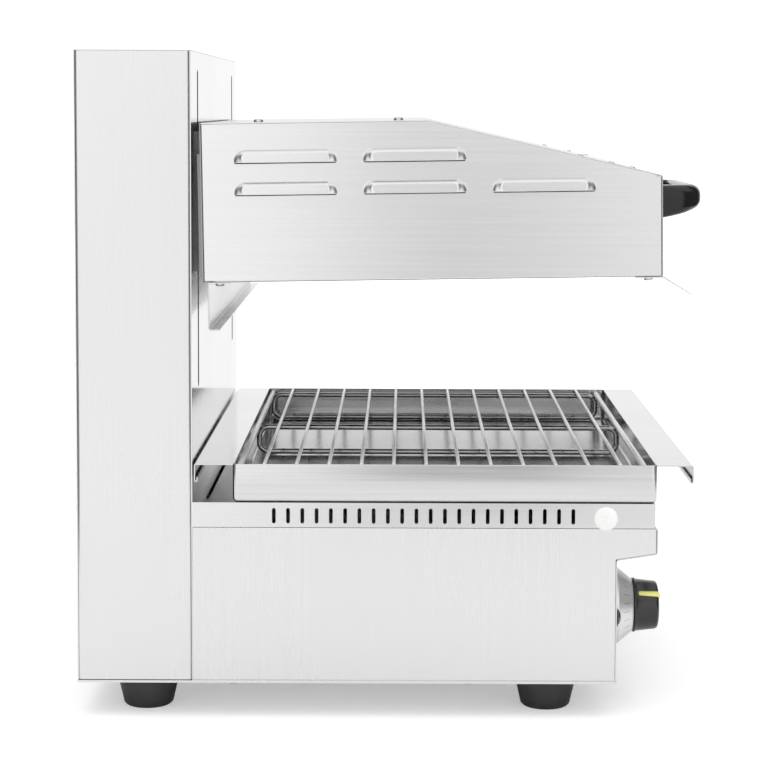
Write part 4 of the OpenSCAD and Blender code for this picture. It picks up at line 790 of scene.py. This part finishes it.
def row_height(u, row):
    """Rows run level up to 79 mm, and up to 105 mm behind the third louvre; above that they close up
    evenly towards the top's line."""
    top = wall_top(u) - FOLD_TOP
    bent = np.minimum(u, BEND_U)
    bent_top = wall_top(bent) - FOLD_TOP
    high = np.where(row > STRAIGHT_V,
                    STRAIGHT_V + (row - STRAIGHT_V) * (bent_top - STRAIGHT_V) / (top_row - STRAIGHT_V), row)
    front = np.where(u > BEND_U, (top - LEVEL_V) / (bent_top - LEVEL_V), 1.0)
    low_share = np.minimum(row, LEVEL_V) / LEVEL_V
    level = np.minimum(LEVEL_V, top)
    high = np.maximum(LEVEL_V + (high - LEVEL_V) * front, level)
    return np.where(row > LEVEL_V, high, level * low_share)


u_grid, row_grid = np.meshgrid(columns, rows)
v_wall = row_height(u_grid, row_grid)
v_wall[0] = FOLD_FOOT
out_wall = press(u_grid, v_wall)
near_end = np.maximum(u_grid - (WALL_STOP - WALL_EDGE), WALL_START + WALL_EDGE - u_grid)
near_end = np.clip(near_end, 0, WALL_EDGE)
x_wall = -HOOD_HALF - out_wall + WALL_EDGE - np.sqrt(WALL_EDGE ** 2 - near_end ** 2)


def flange_rows(line, mitre, sign, width, fold):
    """Rows that curl round the fold and run inwards; their ends are mitred by moving u in by the
    reach."""
    low, high = mitre
    made = []
    turn = np.linspace(0, np.pi / 2, 7)[1:]
    for inward, drop in [*zip(fold * (1 - np.cos(turn)), fold * (1 - np.sin(turn))), (width, 0.0)]:
        share = min(1.0, inward / fold)
        u = np.clip(columns, WALL_START + (low - WALL_START) * share, WALL_STOP - (WALL_STOP - high) * share)
        made.append(np.stack([-HOOD_HALF + inward + 0 * u, u, line(u) + sign * drop], -1))
    return made


top_rows = flange_rows(wall_top, TOP_MITRE, -1, FLANGE, FOLD_TOP)
foot_rows = flange_rows(lambda u: 0 * u, FOOT_MITRE, 1, LIP, FOLD_FOOT)
wall_grid = np.concatenate([foot_rows[::-1], np.stack([x_wall, u_grid, v_wall], -1), top_rows])
for side, hand in ((-1, "left"), (1, "right")):
    points, quads = skin(in_hood(-side * wall_grid[..., 0], wall_grid[..., 1], wall_grid[..., 2]))
    band = np.arange(len(quads)) // (len(columns) - 1) - len(foot_rows)
    middle = (columns[:-1] + columns[1:])[np.arange(len(quads)) % (len(columns) - 1)] / 2
    gone = np.isin(band, list(cut_band.values()))
    for start, foot in louvre_places:
        under = np.abs(middle - start - LOUVRE_LEN / 2) < LOUVRE_LEN / 2 - CUT_END
        gone |= (band == cut_band[foot] - 1) & under
    piece(f"hood_{hand}_wall", [(points, quads[~gone, ::-side])], hood_steel, "hood", f"hood_{hand}_side",
          outward=False, wall=SHEET, sharp=40)

HOOD_SPAN = (-HOOD_HALF, HOOD_HALF)
ROOF_FOOT = 76.4
over_top = [(WALL_START, HOOD_H), (HOOD_FLAT, HOOD_H), (HOOD_LEN, HOOD_FRONT_H), (HOOD_LEN, ROOF_FOOT)]
roof_steel = grain("hood_roof_steel", (0.69, 0.69, 0.687), (420, 5, 420), 0.24, 0.008, tone=0.016,
                   height=0.003)
across_hood = lambda u, v, x: in_hood(x, u, v)
piece("hood_roof", folded(over_top, [5.0, 3.0], 1, HOOD_SPAN, across_hood), roof_steel, "hood", "hood_top",
      edge=0.3)
FRONT_GAP = 0.9
down_front = [(HOOD_LEN, ROOF_FOOT - 0.1), (HOOD_LEN, 0), (HOOD_LEN - LIP, 0)]
piece("hood_front_panel", folded(down_front, 1.8, 1, (FRONT_GAP - HOOD_HALF, HOOD_HALF - FRONT_GAP),
                                 across_hood, ease=0.95), hood_steel, "hood", "hood_front")
# The hood's rear panel has a rough finish. Its base colour is painted about half as bright as the other
# sheets, as painted shade for the narrow gap before the column.
hood_rear_painted_shade_steel = grain("hood_rear_sheet_painted_shade", (0.34, 0.34, 0.335), (60, 60, 60), 0.4, 0.05, tone=0.06)
eased("hood_rear", hood_rear_painted_shade_steel, edge=0.35)


# ---------------- sheets under the hood
# A front deflector keeps the heat off the handle and an upright shield keeps it off the column.
# Both are 1 mm sheet with a folded flange, screwed to the hood's lower edges from below.
DEFLECTOR_BEND = 362.4
DEFLECTOR_TIP = (385.0, -15.1)
SHIELD_U = 4.0
SHIELD_LOW = -38.0
SHIELD_LIP = 13.0
deflector = [(HOOD_LEN - LIP, -SHEET), (DEFLECTOR_BEND, -SHEET), DEFLECTOR_TIP]
piece("heat_deflector", folded(deflector, 2.0, -1, HOOD_SPAN, across_hood), roof_steel, "hood",
      "front_deflector", edge=0.25)
shield = [(LIP, 0), (SHIELD_U, 0), (SHIELD_U, SHIELD_LOW), (SHIELD_LIP, SHIELD_LOW)]
piece("column_heat_shield", folded(shield, 1.5, -1, HOOD_SPAN, across_hood), roof_steel, "hood",
      "rear_heat_shield", edge=0.25)


# ---------------- screws and rivets
# Stainless pan-head screws with a cross recess hold the plates, the covers and the sheets under the
# hood. Small domed rivets join the slope to its folded edges.
fastener_steel = grain("fastener_steel", (0.56, 0.56, 0.56), (400, 400, 400), 0.2, 0.05, tone=0.05)
SCREW_HEAD_R = 3.8
SCREW_HEAD_H = 2.6
SCREW_R = 2.0
SCREW_LEN = 8.0
SCREW_TIP = 0.5
CROSS_HALF = 0.62
CROSS_REACH = 2.1
CROSS_DEPTH = 1.1
CROSS_WALL = 0.25
CROSS_END = 0.5
head_steps = np.r_[1.0, 1.0, 0.985, 0.94, 0.86, 0.75, 0.62, 0.50, 0.44, 0.38, 0.31, 0.24, 0.17, 0.10, 0.0]
head_rise = np.r_[0.0, 0.28, 0.46, 0.64, 0.79, 0.89, 0.95, 0.98, 0.985, 0.99, 0.994, 0.996, 0.998, 1.0, 1.0]


def pan_head(place, count=48):
    """Low domed head on a shank: rings of a dome, pressed in where a cross of two bars lies, deeper to
    the middle."""
    angle = np.arange(count) * 2 * np.pi / count
    a = SCREW_HEAD_R * head_steps[:, None] * np.cos(angle)
    b = SCREW_HEAD_R * head_steps[:, None] * np.sin(angle)
    bar = np.minimum(np.abs(a), np.abs(b))
    along = np.maximum(np.abs(a), np.abs(b))
    pressed = CROSS_DEPTH * np.clip((CROSS_HALF - bar) / CROSS_WALL, 0, 1)
    h = SCREW_HEAD_H * head_rise[:, None] - pressed * np.clip((CROSS_REACH - along) / CROSS_END, 0, 1)
    h[-1] = h[-1, 0]
    return [skin(place(a, b, h), closed=True),
            lathe([(SCREW_HEAD_R, 0), (SCREW_R, 0), (SCREW_R, SCREW_TIP - SCREW_LEN),
                   (SCREW_R - SCREW_TIP, -SCREW_LEN), (0, -SCREW_LEN)], 24, place)]


BOTTOM_Z = FLOOR_TOP - 2
PLATE_SCREW_X = 216.0
PLATE_SCREW_D = (123.0, 312.0)
COVER_SCREW_X = 206.0
COVER_SCREW_END = 22.0
HOOD_SCREW_X = HOOD_HALF - 8
TOP_SCREW_U = (46.0, 156.0)
UNDER_SCREW_X = 212.0
UNDER_SCREW_U = (13.0, 352.0)
HANDLE_SCREW_X = 65.0
HANDLE_SCREW_V = 51.75
heads = []
for side in (-1, 1):
    for d0 in PLATE_SCREW_D:
        heads += pan_head(lambda a, b, h: in_stand(side * PLATE_SCREW_X + a, d0 + b, BOTTOM_Z - h))
    for z0 in np.linspace(FLOOR_TOP + COVER_SCREW_END, COLUMN_TOP - COVER_SCREW_END, 5):
        heads += pan_head(lambda a, b, h: in_stand(side * COVER_SCREW_X + a, -h, z0 + b))
piece("casing_pan_heads", heads, fastener_steel, "stand", "casing_screws")

heads = []
for u0 in TOP_SCREW_U:
    heads += pan_head(lambda a, b, h: in_hood(a - HOOD_SCREW_X, u0 + b, HOOD_H + h))
for side in (-1, 1):
    for u0 in UNDER_SCREW_U:
        heads += pan_head(lambda a, b, h: in_hood(side * UNDER_SCREW_X + a, u0 + b, -SHEET - h))
    heads += pan_head(lambda a, b, h: in_hood(side * HANDLE_SCREW_X + a, WALL_STOP - h, HANDLE_SCREW_V + b))
piece("hood_pan_heads", heads, fastener_steel, "hood", "hood_screws")

RIVET_PLACES = (24.0, 41.0, 66.0)
RIVET_R = 2.4
RIVET_RISE = 1.2
RIVET_SHANK_R = 1.4
rivets = []
for side in (-1, 1):
    for along in RIVET_PLACES:
        place = lambda a, b, h: in_hood(side * HOOD_SCREW_X + a,
                                        HOOD_LEN - (along + b) * math.cos(SLOPE) + h * math.sin(SLOPE),
                                        HOOD_FRONT_H + (along + b) * math.sin(SLOPE) + h * math.cos(SLOPE))
        rivets.append(lathe([(0, -2 * SHEET), (RIVET_SHANK_R, -2 * SHEET), (RIVET_SHANK_R, -0.1),
                             *dome(RIVET_R, RIVET_RISE, 0.15, 6)], 24, place))
piece("slope_rivets", rivets, fastener_steel, "hood", "hood_rivets", sharp=50)


# ---------------- handle
# A bow of glossy black phenolic moulding on the hood's front, held by two screws from inside. It is
# round in plan, flat on top, and its underside rises in a shallow arc to the thick round grip.
HANDLE_HALF = 75.0
HANDLE_OUT = 53.0
HANDLE_LOW = 37.5
HANDLE_ROOT = 28.5
LEG_W = 20.0
GRIP_W = 17.0
BEND_R = 15.0
BELLY_OUT = 5.0
BELLY_R = 115.0
LEG_REACH = 12.0
GRIP_REACH = 4.0
LEG_ROUND = (3.4, 2.4)
GRIP_ROUND = (9.0, 4.2)


def box_ring(count=7):
    """Unit section with four round corners: for each corner its two signs and the turn round it."""
    turn = np.linspace(0, np.pi / 2, count)
    return np.concatenate([np.stack([np.full(count, sa), np.full(count, sb), turn + step * np.pi / 2], 1)
                           for step, (sa, sb) in enumerate([(1, 1), (-1, 1), (-1, -1), (1, -1)])])


def bow_handle():
    """Section carried along the bow in plan: its width goes from the leg's to the grip's, its underside
    lies on the belly's circle, and its outer corners are much rounder than its inner ones along the
    grip."""
    out = HANDLE_OUT - GRIP_W / 2
    x = HANDLE_HALF - LEG_W / 2
    path, left = rounded([(-x, 0), (-x, out), (x, out), (x, 0)], BEND_R, 14)
    legs = np.linspace(0, 1, 9)[1:-1, None]
    path = np.concatenate([path[:1], path[0] + legs * (path[1] - path[0]), path[1:-1],
                           path[-2] + legs * (path[-1] - path[-2]), path[-1:]])
    left = np.concatenate([np.repeat(left[:1], 8, 0), left[1:-1], np.repeat(left[-1:], 8, 0)])
    share = np.clip((path[:, 1] - LEG_REACH) / (out - LEG_REACH - GRIP_REACH), 0, 1)[:, None]
    width = LEG_W + (GRIP_W - LEG_W) * share
    low = BELLY_R - np.sqrt(BELLY_R ** 2 - (np.minimum(path[:, 1:], out) - BELLY_OUT) ** 2)
    sign_a, sign_b, turn = box_ring().T
    from_leg, from_grip = (np.where(sign_a > 0, *pair) for pair in (LEG_ROUND, GRIP_ROUND))
    corner = from_leg + (from_grip - from_leg) * share
    a = sign_a * (width / 2 - corner) + corner * np.cos(turn)
    b = (low + HANDLE_ROOT) / 2 + sign_b * ((HANDLE_ROOT - low) / 2 - corner) + corner * np.sin(turn)
    x_ring = path[:, :1] + left[:, :1] * a
    out_ring = path[:, 1:] + left[:, 1:] * a
    rings = in_hood(x_ring, HOOD_LEN + np.maximum(out_ring, 0), HANDLE_LOW + b)
    return [skin(rings, closed=True), cap(rings[0]), cap(rings[-1])]


handle_phenolic = moulded("handle_phenolic", (0.010, 0.010, 0.011), 0.14, 0.03, 260, 0.04,
                          Specular_IOR_Level=0.36)
piece("bow_handle_grip", bow_handle(), handle_phenolic, "hood", "handle", sharp=50)


# ---------------- control
# A spun aluminium scale ring is clamped to the panel under the nut of the energy regulator. The
# black knob has a skirt, a tapered grip and a pale yellow pointer let into it. A pilot lamp with a
# dark dome lens sits beside it.
KNOB_X = -163.0
CONTROL_Z = 77.5
RING_R = 32.0
LAMP_R = 8.0
LAMP_X = KNOB_X - RING_R - 3.5 - LAMP_R
GRIP_R = 21.3
TIP_R = 19.7
TIP_ROUND = 3.0
KNOB_OUT = 39.0
SKIRT_OUT = 18.4
POINTER_TURN = math.radians(51)
POINTER_HALF = 2.3
POINTER_RISE = 1.7
STROKES = 24
STROKE_SHARE = 0.03
STROKE_INNER = 0.0245
STROKE_OUTER = 0.0285
BARE_SHARE = 0.08


def on_panel(x0):
    """Frame on the panel's face round an axis at x0: across, up and outwards."""
    return lambda a, b, h: in_stand(x0 + a, PANEL_D + h, CONTROL_Z + b)


def scale_finish():
    """Satin aluminium, turned on a lathe, with thin dark strokes: the angle round the axis is cut into
    equal shares, and a stroke shows near each share's middle, within a band of radius. The lowest part
    stays bare."""
    made = grain("scale_ring_aluminium", (0.80, 0.80, 0.80), (300, 300, 300), 0.42, 0.04, tone=0.02)
    tree = made.node_tree
    shader = tree.nodes["Principled BSDF"]
    plain = shader.inputs["Base Color"].links[0].from_socket
    place = added(tree, "TexCoord", {}).outputs["Object"]
    centred = added(tree, "Mapping", {"Vector": place, "Location": (-KNOB_X / 1000, 0, -CONTROL_Z / 1000)})
    x, _, z = parted(tree, centred.outputs["Vector"])

    def work(*step):
        return worked(tree, *step)

    turn = work("DIVIDE", work("ARCTAN2", x, z), 2 * math.pi)
    share = work("FRACT", work("ADD", work("MULTIPLY", turn, STROKES), 0.5))
    near = work("LESS_THAN", work("ABSOLUTE", work("SUBTRACT", share, 0.5)), STROKE_SHARE)
    radius = work("SQRT", work("ADD", work("MULTIPLY", x, x), work("MULTIPLY", z, z)))
    beyond = work("GREATER_THAN", radius, STROKE_INNER)
    band = work("MULTIPLY", beyond, work("LESS_THAN", radius, STROKE_OUTER))
    lower = work("LESS_THAN", work("ABSOLUTE", work("ADD", turn, 0.5)), BARE_SHARE)
    stroke = work("MULTIPLY", work("SUBTRACT", 1.0, lower), work("MULTIPLY", near, band))
    feed(tree, shader, {"Base Color": mixed(tree, stroke, plain, (0.3, 0.3, 0.3, 1))})
    return made


ring_line, _ = rounded([(5.15, 0), (RING_R, 0), (RING_R, 5), (21.5, 18), (20.1, 18), (30.3, 5), (30.3, 1.4),
                        (5.15, 1.4)], [0.2, 0.5, 0.8, 0.5, 0.4, 0.6, 0.5, 0.2], 3, closed=True)
on_knob = on_panel(KNOB_X)
scale_ring = lathe(np.concatenate([ring_line, ring_line[:1]]), 96, on_knob)
piece("spun_scale_ring", [scale_ring], scale_finish(), "stand", "scale_bezel", sharp=40)

tip_turn = np.linspace(0, np.pi / 2, 6)
tip_line = zip(TIP_R - TIP_ROUND * (1 - np.cos(tip_turn)), KNOB_OUT - TIP_ROUND * (1 - np.sin(tip_turn)))
knob_profile = [(0, 31), (3.05, 31), (3.05, 7), (8, 7), (8, SKIRT_OUT), (21.6, SKIRT_OUT), (22.1, 18.6),
                (22.25, 19.0), (22.25, 19.9), (22.05, 20.4), (21.7, 20.6), (21.5, 20.75), (GRIP_R, 21.2),
                (0.5 * (GRIP_R + TIP_R), 28.6), *tip_line, (15, 38.9), (8, 38.7), (0, 38.6)]
knob_gloss = moulded("knob_phenolic", (0.008, 0.008, 0.009), 0.2, 0.03, 300, 0.03, Specular_IOR_Level=0.62)
piece("skirted_knob", [lathe(knob_profile, 96, on_knob)], knob_gloss, "control_knob", "knob", sharp=50)

ridge, out = rounded([(GRIP_R + 0.75, 22.1), (TIP_R + 0.9, KNOB_OUT + 0.9), (8, KNOB_OUT + 0.9)], 3.4, 8)
out = -out
ends = [0.05, 0.6, 0.9]
ridge = np.concatenate([ridge[0] + np.array([[0, 0], [0, 0.25], [0, 0.8]]), ridge[1:-1],
                        ridge[-1] + np.array([[0.8, 0], [0.25, 0], [0, 0]])])
out = np.concatenate([np.repeat(out[:1], 3, 0), out[1:-1], np.repeat(out[-1:], 3, 0)])
size = np.r_[ends, np.ones(len(ridge) - 6), ends[::-1]][:, None]
across_bar = np.linspace(0, np.pi, 13)
side_step = POINTER_HALF * size * np.cos(across_bar)
rise = POINTER_RISE * (np.sin(across_bar) ** 0.7 - 1) - (1 - size) * 0.8
radial = ridge[:, :1] + out[:, :1] * rise
outward = ridge[:, 1:] + out[:, 1:] * rise
bar = on_knob(-math.sin(POINTER_TURN) * radial + math.cos(POINTER_TURN) * side_step,
              math.cos(POINTER_TURN) * radial + math.sin(POINTER_TURN) * side_step, outward)
pointer_nylon = moulded("pointer_nylon", (0.83, 0.80, 0.24), 0.35, 0.05, 500, 0.08)
piece("yellow_pointer", [skin(bar, closed=True), cap(bar[0]), cap(bar[-1])], pointer_nylon, "control_knob",
      "knob_pointer", sharp=60)
eased("control_shaft", fastener_steel, edge=0.4)
eased("regulator_nut", fastener_steel, edge=0.3)

COLLAR_BORE = 6.55
LAMP_BODY_R = 5.0
LAMP_BODY_LEN = 25.0
LENS_SEAT = 0.5
LENS_R = 6.45
LENS_RISE = 5.0
LENS_EDGE = 1.9
on_lamp = on_panel(LAMP_X)
rim_line, _ = rounded([(COLLAR_BORE, LENS_SEAT), (COLLAR_BORE, 2), (LAMP_R, 2), (LAMP_R, 0)], [0.25, 0.7], 4)
collar_nylon = moulded("lamp_collar_nylon", (0.025, 0.025, 0.025), 0.35, 0.05, 500, 0.1)
body_line = [(LAMP_BODY_R, 0), (LAMP_BODY_R, -LAMP_BODY_LEN), (0, -LAMP_BODY_LEN)]
piece("lamp_collar", [lathe([*rim_line, *body_line], 48, on_lamp),
                      lathe([(COLLAR_BORE, LENS_SEAT), (0, LENS_SEAT)], 48, on_lamp)],
      collar_nylon, "stand", "pilot_lamp_rim", sharp=45)
lens_dark = moulded("lamp_lens", (0.02, 0.045, 0.03), 0.07, 0.02, 90, 0.02, Coat_Weight=1.0,
                    Coat_Roughness=0.03)
lens_line = [(0, LENS_SEAT), (LENS_R, LENS_SEAT), *dome(LENS_R, LENS_RISE, LENS_EDGE, 9)[1:]]
piece("lamp_dome", [lathe(lens_line, 48, on_lamp)], lens_dark, "stand", "pilot_lens", sharp=60)


# ---------------- lift, heating and wiring parts
# Inside the column two chromed rods guide a zinc-plated carriage with bronze bushes, held up by two
# gas springs. Under the hood three hairpin elements hang below a bright reflector. The mains inlet
# and terminals sit low down.
# The zinc plating is real, but its base colour is painted darker than bare zinc. This is painted shade for
# the gap behind the hood where the lift arms show.
zinc = grain("zinc_plating_painted_shade", (0.30, 0.30, 0.31), (160, 160, 160), 0.4, 0.06, tone=0.08, height=0.06)
ground_steel = grain("ground_rod_steel", (0.84, 0.84, 0.85), (30, 30, 900), 0.08, 0.02, tone=0.01,
                     height=0.01)
bronze = grain("sintered_bronze", (0.60, 0.42, 0.2), (700, 700, 700), 0.36, 0.06, tone=0.08, height=0.1)
sheath = grain("oxidised_sheath", (0.16, 0.145, 0.14), (160, 160, 160), 0.46, 0.08, tone=0.2, height=0.08)
nylon = moulded("inlet_nylon", (0.03, 0.03, 0.03), 0.42, 0.06, 500, 0.12)
lacquer = moulded("spring_lacquer", (0.02, 0.02, 0.02), 0.22, 0.04, 120, 0.05, Coat_Weight=0.3)
case_grey = moulded("regulator_moulding", (0.33, 0.33, 0.34), 0.5, 0.06, 500, 0.12)
ceramic = moulded("glazed_ceramic", (0.86, 0.84, 0.80), 0.18, 0.05, 300, 0.06)
finish_of = {"black_lacquer": lacquer, "black_plastic": nylon, "black_rubber": foot_rubber,
             "bright_sheet": bright_steel, "bush_bronze": bronze, "ceramic": ceramic,
             "element_sheath": sheath, "fastener": fastener_steel, "ground_rod": ground_steel,
             "regulator_case": case_grey, "zinc_bracket": zinc}
for node in ("foot_screws", "upper_crossbar", "lower_crossbar", "guide_rods", "rod_collars",
             "stop_buffers", "gas_spring_cylinders", "fixing_nuts", "energy_regulator", "terminal_block",
             "terminal_screws", "cord_gland", "gland_locknut", "slider_blocks", "guide_bushes",
             "carriage_beam", "gas_spring_rods", "upper_spring_nuts", "lift_arms", "arm_screws",
             "arm_bolts", "reflector", "heating_elements", "element_terminals", "element_brackets"):
    eased(node, finish_of[slot_of[node]], edge=0.3)
